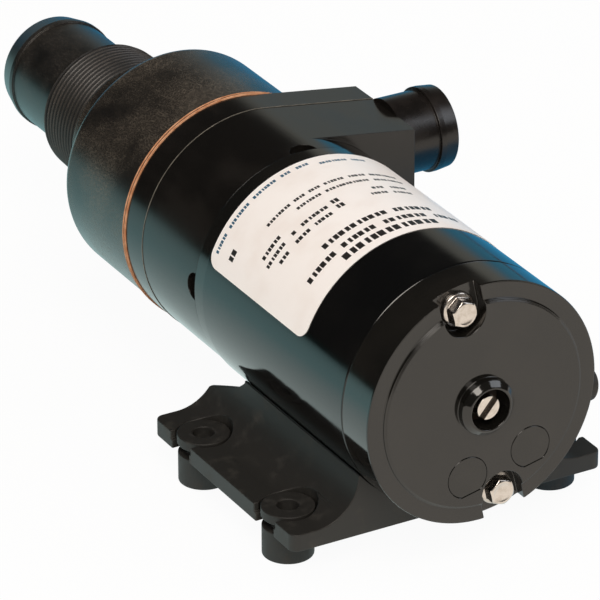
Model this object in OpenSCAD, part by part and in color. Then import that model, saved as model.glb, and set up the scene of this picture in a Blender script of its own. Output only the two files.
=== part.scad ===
// Macerator toilet pump: permanent-magnet motor on a saddle base, flexible impeller pump
// and cutter housing with a threaded hose tail. Millimetres.
// The origin is on the floor at the centre of the four foot holes.
// +X points to the discharge side, +Y along the motor axis to the inlet, +Z up.
// Angles about the motor axis are counted from +X towards +Z.

/* [Base and feet] */
// Height of the motor axis over the floor
axis_h = 56.2; // [54:0.1:60]
// Foot holes, centre to centre across the motor
foot_spacing_x = 94.8; // [92:0.2:96]
// Foot holes, centre to centre along the motor
foot_spacing_y = 54.4; // [48:0.2:58]
// Width of the base plate
base_w = 111.5; // [108:0.5:114]
// Length of the base plate
base_len = 90; // [86:0.2:92]
// Thickness of the base plate
base_t = 5.9; // [5:0.1:7]
// Drop from the motor axis to the plate's top face
plate_drop = 40; // [39:0.1:41.5]
// Radius of the hollow flank between plate and saddle
flank_r = 15; // [13:0.1:15.4]
// Distance from the middle to the hollow flank's centre
flank_x = 47.5; // [46.5:0.1:49]
// Radius of the plate's upright corners
base_corner_r = 3; // [1:0.2:5]
// Radius of a foot's top flange
foot_flange_r = 8.5; // [8:0.1:9.2]
// Thickness of a foot's top flange
foot_flange_t = 3.3; // [2.6:0.1:3.6]
// Radius of a foot's neck in its slot
foot_neck_r = 5.5; // [5:0.1:6]
// Radius of a foot under the plate
foot_r = 8.2; // [7:0.1:9]
// Radius of the screw hole through a foot
foot_hole_r = 3.5; // [2.5:0.1:4]

/* [Motor can] */
// Distance from the foot centre back to the end cover's rim
motor_rear = 63.4; // [60:0.2:67]
// Turn of the whole motor about its axis, in degrees
motor_turn = 12.4; // [8:0.1:14]
// Outer radius of the can
can_r = 40.4; // [40:0.1:40.9]
// Wall of the can
can_wall = 2.4; // [2:0.1:2.8]
// Length of the can
can_len = 88.4; // [88:0.2:92]
// Radius of the front plate's rim
plate_r = 40; // [39:0.1:41]
// Thickness of the front plate's rim
plate_t = 6; // [5:0.1:8]

/* [End cover] */
// Radius of the end cover
cover_r = 40.4; // [39:0.1:41]
// Length of the end cover outside the can
cover_len = 15.1; // [14.6:0.1:17]
// Radius of the raised disc on the cover
disc_r = 34.9; // [33:0.1:36]
// Height of the raised disc
disc_h = 1.2; // [0.6:0.1:1.6]
// Radius of the round end of a bolt notch
notch_r = 7.3; // [6.5:0.1:7.8]
// Depth of a bolt notch behind the rim
notch_depth = 4; // [3.5:0.1:4.5]
// Radius of the boss round the shaft end, at its top
boss_r = 7.8; // [7.5:0.1:8.6]
// Radius of the boss's upright foot
boss_foot_r = 9.3; // [8.8:0.1:10]
// Height of the boss over the disc
boss_h = 4; // [3.4:0.1:4.6]
// Radius of the hole in the boss
boss_hole_r = 6.7; // [6:0.1:6.9]
// Radius of an access plug
plug_r = 6.85; // [6:0.05:7.4]
// Access plugs, half their distance from each other
plug_u = 11.4; // [10.8:0.1:12.5]
// Shift of both access plugs off the motor's upright middle line
plug_mid = 0.9; // [0:0.1:1.2]
// Access plugs, below the motor axis
plug_v = 21.9; // [20:0.1:22.6]
// Distance from a plug's centre to its flat
plug_flat = 6; // [5.2:0.1:6.5]
// Angle of the lead entry about the motor axis
lead_angle = -10.9; // [-20:0.1:0]
// Radius of the lead grommet's rim
lead_rim_r = 5.1; // [4.5:0.1:6.5]
// Radius of the hole for the leads
lead_hole_r = 2.2; // [1.5:0.1:2.6]

/* [Bolts and screws] */
// Radius of the circle of the two through bolts
bolt_circle_r = 33; // [32.6:0.1:33.6]
// Radius of the through bolts and the screws
bolt_r = 2.5; // [2:0.1:2.8]
// Width across the flats of a bolt head
bolt_flats = 8; // [7:0.1:9]
// Radius of a bolt head's flange
bolt_flange_r = 5.6; // [5.2:0.1:6.2]
// Radius of the circle of the four housing screws
screw_circle_r = 33.5; // [33.2:0.1:34]
// Base screws, from the foot centre
base_screw_y = 20; // [14:0.5:24]

/* [Shaft and rotor] */
// Radius of the shaft at bearing, seal and impeller
shaft_r = 5; // [4.6:0.1:5.4]
// Radius of the shaft's rear journal
journal_r = 3.9; // [3.5:0.1:4.4]
// Radius of the shaft under core and commutator
seat_r = 6; // [5.8:0.1:6.6]
// Radius of the shaft's front thread
tip_r = 4; // [3:0.1:4.3]
// Radius of the armature core
core_r = 29.5; // [27:0.1:29.8]
// Length of the armature core
core_len = 42; // [36:0.5:44]
// Slots in the core and bars in the commutator
slot_count = 12; // [8:2:14]
// Radius of the commutator
comm_r = 12; // [11:0.1:12.6]
// Thickness of a magnet
magnet_t = 7; // [6:0.1:7.6]
// Half the arc of a magnet, in degrees
magnet_half_arc = 65; // [55:1:66]
// Balls in the front bearing
ball_count = 8; // [6:1:9]

/* [Pump body] */
// Radius of the pump body
body_r = 39.9; // [39:0.1:41]
// Length of the pump body
body_len = 46.3; // [45.5:0.1:48]
// Distance from the parting line to the body's front
parting_back = 11.1; // [8:0.1:13]
// Radius of the impeller chamber
chamber_r = 27; // [26:0.1:28]
// How far the cam stands into the chamber
cam_depth = 4; // [2:0.1:4.6]
// Angle of the cam's middle
cam_angle = -30; // [-36:1:-26]
// Radius of a half-round weep slot
weep_r = 4.6; // [4:0.1:5.4]
// Distance of the discharge block's flat side from the motor axis
block_x = 45.5; // [44:0.1:48]
// Height of the block's top at its flat side, over the motor axis
block_top = 33.7; // [33:0.1:36]
// Height of the block's underside over the motor axis
block_low = 7.5; // [4:0.1:9]
// Length of the discharge block
block_len = 38.4; // [36:0.1:39]
// Height of the outlet over the motor axis
outlet_up = 22.8; // [21.5:0.1:23.2]
// Distance from the body's front back to the outlet
outlet_back = 19.2; // [18.4:0.1:20]
// Radius of the outlet spigot
spigot_r = 13.3; // [13:0.1:13.6]
// Radius of the spigot's hose bead
spigot_bead_r = 14.3; // [13.9:0.1:15]
// Length of the spigot
spigot_len = 20.1; // [18:0.1:24]
// Radius of the outlet bore
outlet_r = 10.5; // [9.5:0.1:10.8]
// Vanes on the impeller
vane_count = 8; // [6:1:9]

/* [Gaskets and wear plate] */
// Thickness of a gasket
gasket_t = 0.5; // [0.4:0.1:1]
// Radius of the gaskets
gasket_r = 40.5; // [40.2:0.1:42]
// Thickness of the wear plate
wear_t = 0.6; // [0.4:0.1:1.2]
// Radius of the wear plate
wear_r = 40.3; // [40:0.1:41.2]

/* [Inlet housing] */
// Radius of the housing's barrel
housing_r = 39.9; // [39:0.1:41]
// Length of the housing's barrel
housing_len = 43.6; // [42:0.1:50]
// Radius of the barrel's front edge
housing_edge_r = 4; // [2:0.1:5]
// Radius of the cutter chamber
cutter_room_r = 28; // [27:0.1:28.6]
// Radius of the hub behind the thread
hub_r = 26.5; // [25.5:0.1:27.5]
// Length of the hub
hub_len = 19.2; // [14:0.1:22]
// Crest radius at the thread's large end
thread_r = 24.3; // [23.5:0.1:25]
// Pitch of the thread
thread_pitch = 2.209; // [1.8:0.001:2.6]
// Turns of the thread
thread_turns = 12; // [8:1:14]
// Depth of the thread
thread_depth = 1.4; // [0.8:0.1:1.8]
// Radius of the hose tail
tail_r = 19.4; // [19:0.1:20]
// Length of the hose tail's plain neck
tail_neck_len = 31.3; // [20:0.1:36]
// Radius of the hose tail's bead
tail_bead_r = 20; // [19.6:0.1:21]
// Length of the bead's level part
tail_bead_len = 2; // [1:0.1:6]
// Length of the bead's lead-in taper
tail_taper_len = 7.7; // [5:0.1:10]
// Radius at the very end of the hose tail
tail_end_r = 18.2; // [17.8:0.1:19]
// Radius of the inlet bore
inlet_r = 16.5; // [15:0.1:17]

/* [Label] */
// Angle of the label's edge on the left side
label_from = 162; // [150:1:170]
// Angle of the label's edge on the right side
label_to = 20; // [10:1:50]
// Width of the label along the can
label_w = 61; // [40:0.5:70]
// Distance from the label to the can's front end
label_back = 1; // [0.5:0.1:8]
// Radius of the label's corners
label_corner_r = 4.5; // [2:0.1:8]

/* [Hidden] */
$fn = 96;

// Fits: gap of pieces pushed together, gap of running pieces, room round a bolt or screw,
// and how far a cutting shape runs past the surface that it cuts
fit_gap = 0.05;
run_gap = 0.05;
bolt_room = 0.2;
past = 1;

// Stations along the motor axis, from the end cover to the hose tail
rim_y = -motor_rear;
seam_y = rim_y + cover_len;
can_front_y = seam_y + can_len;
body_y = can_front_y + plate_t;
body_front_y = body_y + body_len;
wear_y = body_front_y + gasket_t;
housing_gasket_y = wear_y + wear_t;
housing_y = housing_gasket_y + gasket_t;
housing_front_y = housing_y + housing_len;

// Motor can and what fits into it
can_in_r = can_r - can_wall;
can_edge = 0.6;
spigot_in_r = can_in_r - fit_gap;
spigot_depth = 4;
magnet_y = -28;
magnet_len = 54;
top_angle = 90 + motor_turn;
bolt_angles = [top_angle, top_angle + 180];
bolt_hole_r = bolt_r + bolt_room;

// End cover: wall inside the spigot, end wall, bush hub and rim edge
cover_wall = 4;
cover_end_depth = 8;
cover_end_y = rim_y + cover_end_depth;
cover_edge = 0.3;
disc_groove_w = 0.6;
disc_groove_depth = 0.5;
boss_lip = 0.4;
boss_wall = 2.3;
bush_hub_r = 12;
bush_y = rim_y + 3;
bush_len = 10;
bush_wall = 4;
bush_r = journal_r + run_gap + bush_wall;
plug_t = 3;
plug_stem_r = 4.4;
plug_stem_len = 4.6;
lead_back = 8;
lead_y = rim_y + lead_back;
lead_stem_r = 3.6;
lead_out = 4;
lead_mouth_depth = 8;
lead_mouth_r = can_in_r - lead_mouth_depth;
lead_rim_sink = 3;
seal_ring_r = 1;

// Bearing in the front plate: a ball race with a crown cage
bearing_r = 15;
bearing_w = 9;
bearing_nose = 4.1;
bearing_y = body_y - bearing_nose - bearing_w;
bearing_hub_r = 20;
ball_pitch_r = 10;
ball_r = 2.38;
ball_groove_r = ball_r + 0.07;
race_gap = 1.8;
cage_half_w = 1.3;
cage_back = 0.8;
cage_front = 3.6;
plate_hole_r = 9.5;
clip_r = 7;
clip_t = 1.2;

// Shaft: rear end, seat under core and commutator, shoulder for the cutter and front end
shaft_rear_y = rim_y - 3.6;
seat_y = rim_y + cover_len - 0.3;
cutter_y = housing_y + 1.2;
cutter_t = 3;
washer_t = 1;
nut_t = 5;
nut_flats = 13;
shaft_front_y = cutter_y + cutter_t + washer_t + nut_t + 2;
slot_w = 2.2;
slot_depth = 2;
slot_angle = 50;

// Rotor along the shaft
core_y = -22;
coil_end = 8;
coil_r = 25;
core_slot_w = 3.2;
core_slot_depth = 9;
coil_gap = 0.1;
comm_y = -46;
comm_len = 14;
riser_r = comm_r + 2;
riser_t = 2;
comm_slit = 0.5;
comm_slit_depth = 2;

// Brush gear on the rear side of the brush plate
brush_w = 6;
brush_h = 8;
brush_len = 12;
brush_y = comm_y + 7;
brush_in_r = comm_r + run_gap;
brush_out_r = brush_in_r + brush_len;
holder_wall = 0.8;
holder_in_r = comm_r + 2;
holder_out_r = 31;
brush_plate_t = 2;
brush_plate_y = brush_y + brush_h / 2 + fit_gap + holder_wall;
brush_plate_hole_r = riser_r + 1.5;
brush_spring_r = 2.4;
brush_spring_wire = 0.8;

// Pump body, from its rear face: slinger cavity, seal seat, chamber floor, chamber
cavity_depth = 6;
cavity_r = 20;
seal_len = 7;
seal_r = 11;
floor_t = 3.5;
floor_hole_r = 6.5;
seal_y = body_y + cavity_depth;
chamber_y = seal_y + seal_len + floor_t;
cam_r = 34;
cam_off = cam_r - (chamber_r - cam_depth);
parting_step = 0.15;
weep_in_r = 36.9;
drain_r = 2.2;
weep_angles = [0, 90, 177.7, 270];
// The block's top runs out of the barrel along its tangent, from just under the wall
block_sink = 0.02;
block_turn = atan2(block_top, block_x) + acos(body_r / norm([block_x, block_top]));
block_tangent = (body_r - block_sink) * [cos(block_turn), sin(block_turn)];
throat_r = 8.6;
outlet_y = body_front_y - outlet_back;
spigot_bead_land = 2;
spigot_bead_len = 6.9;
spigot_root_len = 0.5;
spigot_root_in = 0.1;
spigot_tip_in = 0.6;
screw_angles = [0, 90, 180, 270];
screw_grip = 16;
bolt_grip = 10;

// Impeller: vanes are straight bars from a hub, leaning back where the cam presses them
side_gap = 0.3;
vane_root_r = 12.5;
vane_t = 2.6;
vane_bulb_r = 2;
vane_gap = 0.2;
vane_free_r = chamber_r - vane_bulb_r - vane_gap;
vane_len = vane_free_r - vane_root_r;
impeller_hub_r = 13;
insert_r = 8.5;
impeller_y = chamber_y + side_gap;
impeller_len = body_front_y - side_gap - impeller_y;
key_w = 3;
key_len = 18;

// Wear plate ports and gasket opening
wear_hole_r = 8;
port_r = 4.5;
port_circle_r = 17.5;
port_angles = [170, 200, 230, 260];
gasket_in_r = cutter_room_r + 0.5;

// Inlet housing: cutter room, screw heads, and the hose tail beyond the thread
cutter_room_len = 35.6;
head_r = 4.25;
head_h = 5;
head_pocket_r = 4.8;
head_pocket_depth = 5.5;
hex_key_flats = 4;
thread_taper = 1 / 32;
thread_len = thread_turns * thread_pitch;
tail_y = housing_front_y + hub_len + thread_len;
cutter_arm_r = cutter_room_r - 1.5;
cutter_arm_w = 10;

// Base: heights from the floor, far end cut back with a pocket between its flank walls,
// hollows under the flanks
plate_top_z = axis_h - plate_drop;
plate_low_z = plate_top_z - base_t;
saddle_r = can_r + fit_gap;
flank_top = plate_drop - flank_r;
far_cut = [[46, -34.6], [30.8, -29], [27.2, -26], [27.2, -20], [46, -20]];
pocket_y = 30;
pocket_drop = 37.6;
pocket_wall = 1.4;
hollow = [[16, -50], [16, -39.6], [22, -37.2], [30, -34.8], [32.5, -35], [35.5, -38], [35.5, -50]];
hollow_y = [[-40, -2], [2, 28]];
foot_seat_drop = 0.5;
foot_seat_z = plate_top_z + foot_seat_drop - foot_flange_t;
spot_gap = 0.8;
mouth_step = 1;
base_head_r = 4.6;
base_head_h = 2.8;
nut_w = 8;
nut_h = 3;
screw_tip = 0.5;

// Label: its film, and how far the round of a corner runs past the edges that it meets
label_t = 0.15;
label_in_r = can_r + fit_gap;
corner_nip = 0.4;

// Places children with their z axis along the motor axis, starting at y
module on_axis(y) {
  translate([0, y, axis_h])
    rotate([-90, 0, 0])
      children();
}

// Places children with their z axis pointing out from the motor axis
module radial(angle, y) {
  translate([0, y, axis_h])
    rotate([0, -angle, 0])
      rotate([0, 90, 0])
        children();
}

// Moves children off the motor axis, within on_axis
module off_axis(angle, r) {
  rotate([0, 0, -angle])
    translate([r, 0, 0])
      children();
}

// Tube from z = 0
module tube(outer_r, inner_r, len) {
  difference() {
    cylinder(r = outer_r, h = len);
    translate([0, 0, -past])
      cylinder(r = inner_r, h = len + 2 * past);
  }
}

// Ring of round section about z, at height z
module round_ring(ring_r, wire_r, z) {
  rotate_extrude()
    translate([ring_r, z])
      circle(wire_r);
}

// Hexagonal prism from z = 0, by its width across the flats
module hexagon(flats, len) {
  cylinder(r = flats / 2 / cos(30), h = len, $fn = 6);
}

// Holes of one size, along the motor axis, on a circle
module hole_ring(angles, circle_r, hole_r, from_y, to_y) {
  for (angle = angles)
    on_axis(from_y)
      off_axis(angle, circle_r)
        cylinder(r = hole_r, h = to_y - from_y);
}

// Outline of the thread: ridges on a cone, one per turn
module thread_profile() {
  function crest(z) = thread_r - z * thread_taper;
  ridges = [
    for (turn = [0 : thread_turns - 1])
      for (step = [0, 0.4, 0.6])
        let (z = (turn + step) * thread_pitch)
          [crest(z) - (step == 0 ? thread_depth : 0), z]
  ];
  polygon(concat([[0, 0]], ridges, [[crest(thread_len) - thread_depth, thread_len], [0, thread_len]]));
}

// Outline of the inlet housing's drum, from the motor axis
module drum_profile() {
  square([housing_r, housing_len - housing_edge_r]);
  square([housing_r - housing_edge_r, housing_len]);
  translate([housing_r - housing_edge_r, housing_len - housing_edge_r])
    circle(housing_edge_r);
}

module inlet_housing() {
  color("#2b2724")
    difference() {
      on_axis(housing_y)
        difference() {
          rotate_extrude()
            drum_profile();
          translate([0, 0, -past])
            cylinder(r = cutter_room_r, h = cutter_room_len + past);
          cylinder(r = inlet_r, h = housing_len + past);
        }
      hole_ring(screw_angles, screw_circle_r, bolt_hole_r, housing_y - past, housing_front_y);
      hole_ring(screw_angles, screw_circle_r, head_pocket_r, housing_front_y - head_pocket_depth,
        housing_front_y + past);
    }
}

// Turned piece about the inlet bore, from y for a length, with its outline as child
module inlet_turned(y, len) {
  color("#2b2724")
    on_axis(y)
      difference() {
        rotate_extrude()
          children();
        translate([0, 0, -past])
          cylinder(r = inlet_r, h = len + 2 * past);
      }
}

// Hub and tapered thread, moulded on the housing's front
module inlet_neck() {
  inlet_turned(housing_front_y, hub_len + thread_len) {
    square([hub_r, hub_len]);
    translate([0, hub_len])
      thread_profile();
  }
}

// Hose tail beyond the thread, with its bead and tapered end
module hose_tail() {
  bead_z = tail_neck_len;
  taper_z = bead_z + tail_bead_len;
  inlet_turned(tail_y, taper_z + tail_taper_len) {
    square([tail_r, bead_z]);
    translate([0, bead_z])
      square([tail_bead_r, tail_bead_len]);
    translate([0, taper_z])
      polygon([[0, 0], [tail_bead_r, 0], [tail_end_r, tail_taper_len], [0, tail_taper_len]]);
  }
}

// Fibre ring between housing, wear plate and body
module gasket(y) {
  color("#c98a5e")
    difference() {
      on_axis(y)
        tube(gasket_r, gasket_in_r, gasket_t);
      hole_ring(screw_angles, screw_circle_r, bolt_hole_r, y - past, y + gasket_t + past);
    }
}

module housing_gasket() {
  gasket(housing_gasket_y);
}

module body_gasket() {
  gasket(body_front_y);
}

module wear_plate() {
  color("#b9b4ac")
    difference() {
      on_axis(wear_y)
        tube(wear_r, wear_hole_r, wear_t);
      hole_ring(screw_angles, screw_circle_r, bolt_hole_r, wear_y - past, wear_y + wear_t + past);
      hole_ring(port_angles, port_circle_r, port_r, wear_y - past, wear_y + wear_t + past);
    }
}

module housing_screws() {
  head_y = housing_front_y - head_pocket_depth;
  tip_y = body_front_y - screw_grip;
  color("#d8d0c6")
    for (angle = screw_angles)
      on_axis(0)
        off_axis(angle, screw_circle_r)
          difference() {
            union() {
              translate([0, 0, tip_y])
                cylinder(r = bolt_r, h = head_y - tip_y);
              translate([0, 0, head_y])
                cylinder(r = head_r, h = head_h);
            }
            translate([0, 0, head_y + head_h / 2])
              hexagon(hex_key_flats, head_h);
          }
}

// Section of the discharge block across the motor axis, grown by a little
module block_section(grow) {
  polygon([
    [0, 0],
    [block_tangent.x, block_tangent.y + grow],
    [block_x + grow, block_top + grow],
    [block_x + grow, block_low],
    [0, block_low]
  ]);
}

// Body barrel with its part of the discharge block, from its own front end backwards
module body_length(front_y, barrel_len, lobe_len, grow) {
  on_axis(front_y - barrel_len)
    cylinder(r = body_r + grow, h = barrel_len);
  translate([0, front_y, axis_h])
    rotate([90, 0, 0])
      linear_extrude(lobe_len)
        block_section(grow);
}

// Places children with their z axis along the outlet, from the height of the motor axis
module on_outlet(x) {
  translate([x, outlet_y, axis_h + outlet_up])
    rotate([0, 90, 0])
      children();
}

// Outlet spigot beyond its root on the block, with a step-up bead for the hose
module outlet_spigot() {
  neck_len = spigot_len - spigot_bead_len - spigot_root_len;
  taper_len = spigot_bead_len - spigot_bead_land;
  color("#1b1a19")
    on_outlet(block_x + spigot_root_len)
      difference() {
        union() {
          cylinder(r = spigot_r, h = neck_len);
          translate([0, 0, neck_len])
            cylinder(r = spigot_bead_r, h = spigot_bead_land);
          translate([0, 0, neck_len + spigot_bead_land])
            cylinder(r1 = spigot_bead_r, r2 = spigot_bead_r - spigot_tip_in, h = taper_len);
        }
        translate([0, 0, -past])
          cylinder(r = outlet_r, h = spigot_len + 2 * past);
      }
}

// Impeller chamber with the cam, as the space that is cut out
module chamber_space() {
  on_axis(chamber_y)
    intersection() {
      cylinder(r = chamber_r, h = body_len);
      off_axis(cam_angle, -cam_off)
        cylinder(r = cam_r, h = body_len);
    }
}

module pump_body() {
  color("#1b1a19")
    difference() {
      union() {
        body_length(body_front_y - parting_back, body_len - parting_back, block_len - parting_back, 0);
        body_length(body_front_y, parting_back, parting_back, parting_step);
        on_outlet(block_x - spigot_root_in)
          cylinder(r = spigot_r, h = spigot_root_in + spigot_root_len);
      }
      chamber_space();
      on_outlet(0)
        cylinder(r = throat_r, h = block_x + spigot_root_len + past);
      on_axis(body_y - past) {
        cylinder(r = cavity_r, h = cavity_depth + past);
        cylinder(r = seal_r + fit_gap, h = cavity_depth + seal_len + past);
        cylinder(r = floor_hole_r, h = body_len);
      }
      for (angle = weep_angles)
        radial(angle, body_y) {
          cylinder(r = drain_r, h = weep_in_r + past);
          translate([0, 0, weep_in_r])
            cylinder(r = weep_r, h = body_r);
        }
      hole_ring(screw_angles, screw_circle_r, bolt_r + fit_gap, body_front_y - screw_grip - past,
        body_front_y + past);
      hole_ring(bolt_angles, bolt_circle_r, bolt_r + fit_gap, body_y - past, body_y + bolt_grip + past);
    }
}

// Free radius of the chamber at an angle, with the cam
function chamber_at(angle) =
  let (turn = angle - cam_angle)
    min(chamber_r, sqrt(cam_r ^ 2 - (cam_off * sin(turn)) ^ 2) - cam_off * cos(turn));

// Radius of a vane's bulb at an angle
function bulb_at(angle) = min(vane_free_r, chamber_at(angle) - vane_bulb_r - 2 * vane_gap);

// Angle that a vane leans back by, to hold its length at the bulb's radius
function lean(r) =
  acos(min(1, (vane_root_r ^ 2 + r ^ 2 - vane_len ^ 2) / (2 * vane_root_r * r)));

// Angle of the bulb of a vane that starts at an angle, settled in steps
function bulb_angle(root, guess, steps) =
  steps == 0 ? guess : bulb_angle(root, root + lean(bulb_at(guess)), steps - 1);

// One vane, seen along the motor axis from the motor end
module vane(root) {
  tip = bulb_angle(root, root, 8);
  start = vane_root_r * [cos(root), -sin(root)];
  end = bulb_at(tip) * [cos(tip), -sin(tip)];
  way = end - start;
  translate(start)
    rotate(atan2(way.y, way.x))
      translate([-vane_bulb_r, -vane_t / 2])
        square([norm(way) + vane_bulb_r, vane_t]);
  translate(end)
    circle(vane_bulb_r);
}

module impeller() {
  color("#232120")
    on_axis(impeller_y)
      linear_extrude(impeller_len)
        difference() {
          union() {
            circle(impeller_hub_r);
            for (turn = [0 : vane_count - 1])
              vane((turn + 0.5) * 360 / vane_count);
          }
          circle(insert_r);
        }
}

module impeller_insert() {
  color("#c9a24f")
    on_axis(impeller_y)
      difference() {
        tube(insert_r, shaft_r, impeller_len);
        translate([0, -key_w / 2, -past])
          cube([shaft_r + key_w / 2, key_w, impeller_len + 2 * past]);
      }
}

module impeller_key() {
  color("#8d8a85")
    on_axis(impeller_y + (impeller_len - key_len) / 2)
      translate([shaft_r - key_w / 2, -key_w / 2, 0])
        cube([key_w, key_w, key_len]);
}

module cutter() {
  color("#c4c0b8")
    on_axis(cutter_y)
      difference() {
        union() {
          cylinder(r = cutter_arm_w, h = cutter_t);
          intersection() {
            cylinder(r = cutter_arm_r, h = cutter_t);
            translate([-cutter_room_r, -cutter_arm_w / 2, 0])
              cube([2 * cutter_room_r, cutter_arm_w, cutter_t]);
          }
        }
        translate([0, 0, -past])
          cylinder(r = tip_r, h = cutter_t + 2 * past);
      }
}

module cutter_washer() {
  color("#b5b0a8")
    on_axis(cutter_y + cutter_t)
      tube(nut_flats / 2 + 1, tip_r, washer_t);
}

module cutter_nut() {
  color("#b5b0a8")
    on_axis(cutter_y + cutter_t + washer_t)
      difference() {
        hexagon(nut_flats, nut_t);
        translate([0, 0, -past])
          cylinder(r = tip_r, h = nut_t + 2 * past);
      }
}

module shaft_seal() {
  case_in_r = seal_r - 1.5;
  lip_r = shaft_r + run_gap;
  color("#2d2b2a")
    on_axis(seal_y)
      rotate_extrude() {
        translate([case_in_r, 0])
          square([seal_r - case_in_r, seal_len]);
        translate([lip_r, 0])
          square([seal_r - lip_r, 1.6]);
        translate([lip_r, 0])
          square([1, 5]);
      }
}

module seal_spring() {
  spring_wire = 0.5;
  color("#a9a59e")
    on_axis(seal_y)
      round_ring(shaft_r + run_gap + 1 + spring_wire, spring_wire, 4);
}

module slinger() {
  collar_r = 8;
  collar_len = 4;
  flange_r = 15;
  flange_t = 1.6;
  color("#2f2d2b")
    on_axis(body_y + 1)
      difference() {
        union() {
          cylinder(r = collar_r, h = collar_len);
          cylinder(r = flange_r, h = flange_t);
        }
        translate([0, 0, -past])
          cylinder(r = shaft_r, h = collar_len + 2 * past);
      }
}

module front_plate() {
  hub_len = can_front_y - bearing_y;
  color("#201f1e")
    difference() {
      on_axis(0)
        difference() {
          union() {
            translate([0, 0, can_front_y])
              cylinder(r = plate_r, h = plate_t);
            translate([0, 0, can_front_y - spigot_depth])
              cylinder(r = spigot_in_r, h = spigot_depth + past);
            translate([0, 0, bearing_y])
              cylinder(r = bearing_hub_r, h = hub_len + past);
          }
          translate([0, 0, bearing_y - past])
            cylinder(r = bearing_r, h = bearing_w + past);
          translate([0, 0, bearing_y])
            cylinder(r = plate_hole_r, h = bearing_w + bearing_nose + past);
        }
      hole_ring(bolt_angles, bolt_circle_r, bolt_hole_r, can_front_y - spigot_depth - past, body_y + past);
    }
}

// Track that the balls roll in
module ball_track() {
  round_ring(ball_pitch_r, ball_groove_r, bearing_w / 2);
}

module bearing_outer_race() {
  color("#c8c5c0")
    on_axis(bearing_y)
      difference() {
        tube(bearing_r, ball_pitch_r + race_gap, bearing_w);
        ball_track();
      }
}

module bearing_inner_race() {
  color("#c8c5c0")
    on_axis(bearing_y)
      difference() {
        tube(ball_pitch_r - race_gap, shaft_r, bearing_w);
        ball_track();
      }
}

// Balls, or the pockets that hold them, evenly round the bearing
module ball_set(r) {
  for (ball = [0 : ball_count - 1])
    off_axis(ball * 360 / ball_count, ball_pitch_r)
      translate([0, 0, bearing_w / 2])
        sphere(r);
}

module bearing_balls() {
  color("#dcdad6")
    on_axis(bearing_y)
      ball_set(ball_r);
}

module bearing_cage() {
  color("#b98d4f")
    on_axis(bearing_y)
      difference() {
        translate([0, 0, bearing_w / 2 - cage_back])
          tube(ball_pitch_r + cage_half_w, ball_pitch_r - cage_half_w, cage_back + cage_front);
        ball_set(ball_groove_r);
      }
}

module bearing_clip() {
  color("#77746f")
    on_axis(bearing_y + bearing_w)
      tube(clip_r, shaft_r, clip_t);
}

module motor_can() {
  color("#151515")
    difference() {
      on_axis(seam_y)
        difference() {
          union() {
            cylinder(r1 = can_r - can_edge, r2 = can_r, h = can_edge);
            translate([0, 0, can_edge])
              cylinder(r = can_r, h = can_len - can_edge);
          }
          translate([0, 0, -past])
            cylinder(r = can_in_r, h = can_len + 2 * past);
        }
      for (y = [-base_screw_y, base_screw_y])
        translate([0, y, axis_h - can_r - past])
          cylinder(r = bolt_hole_r, h = can_wall + 2 * past);
    }
}

// Arc magnet against the can's inside, about an angle
module magnet(angle) {
  reach = 2 * can_r;
  color("#4a4845")
    on_axis(magnet_y)
      rotate([0, 0, -angle])
        linear_extrude(magnet_len)
          intersection() {
            difference() {
              circle(can_in_r);
              circle(can_in_r - magnet_t);
            }
            polygon([
              [0, 0],
              reach * [cos(magnet_half_arc), sin(magnet_half_arc)],
              [reach, 0],
              reach * [cos(magnet_half_arc), -sin(magnet_half_arc)]
            ]);
          }
}

module magnet_left() {
  magnet(180 + motor_turn);
}

module magnet_right() {
  magnet(motor_turn);
}

// Outline of the end cover's outside from the motor axis, rim face at 0
module cover_profile() {
  polygon([
    [0, 0], [cover_r - cover_edge, 0], [cover_r, cover_edge], [cover_r, cover_len], [0, cover_len]
  ]);
  square([spigot_in_r, cover_len + spigot_depth]);
  translate([0, -disc_h]) {
    square([disc_r, disc_h]);
    boss_profile();
  }
}

// Outline of the boss on the disc's face: upright foot, sloping flank and lip
module boss_profile() {
  polygon([
    [0, 0], [boss_foot_r, 0], [boss_foot_r, -boss_wall],
    [boss_r, boss_lip - boss_h], [boss_r - boss_lip, -boss_h], [0, -boss_h]
  ]);
}

// Notch for a bolt head, open at the rim
module bolt_notch(angle) {
  on_axis(rim_y - disc_h - past)
    off_axis(angle, bolt_circle_r) {
      cylinder(r = notch_r, h = notch_depth + disc_h + past);
      translate([0, -notch_r, 0])
        cube([cover_r, 2 * notch_r, notch_depth + disc_h + past]);
    }
}

// Round plug shape with a flat on the side away from the motor axis, from z = 0
module plug_shape(r, flat, len) {
  intersection() {
    cylinder(r = r, h = len);
    translate([-2 * r, flat - 4 * r, 0])
      cube([4 * r, 4 * r, len]);
  }
}

// Places children at both access plugs, z along the motor axis from the disc's face
module at_plugs() {
  for (side = [-1, 1])
    on_axis(rim_y - disc_h)
      rotate([0, 0, -motor_turn])
        translate([side * plug_u + plug_mid, plug_v, 0])
          children();
}

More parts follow.
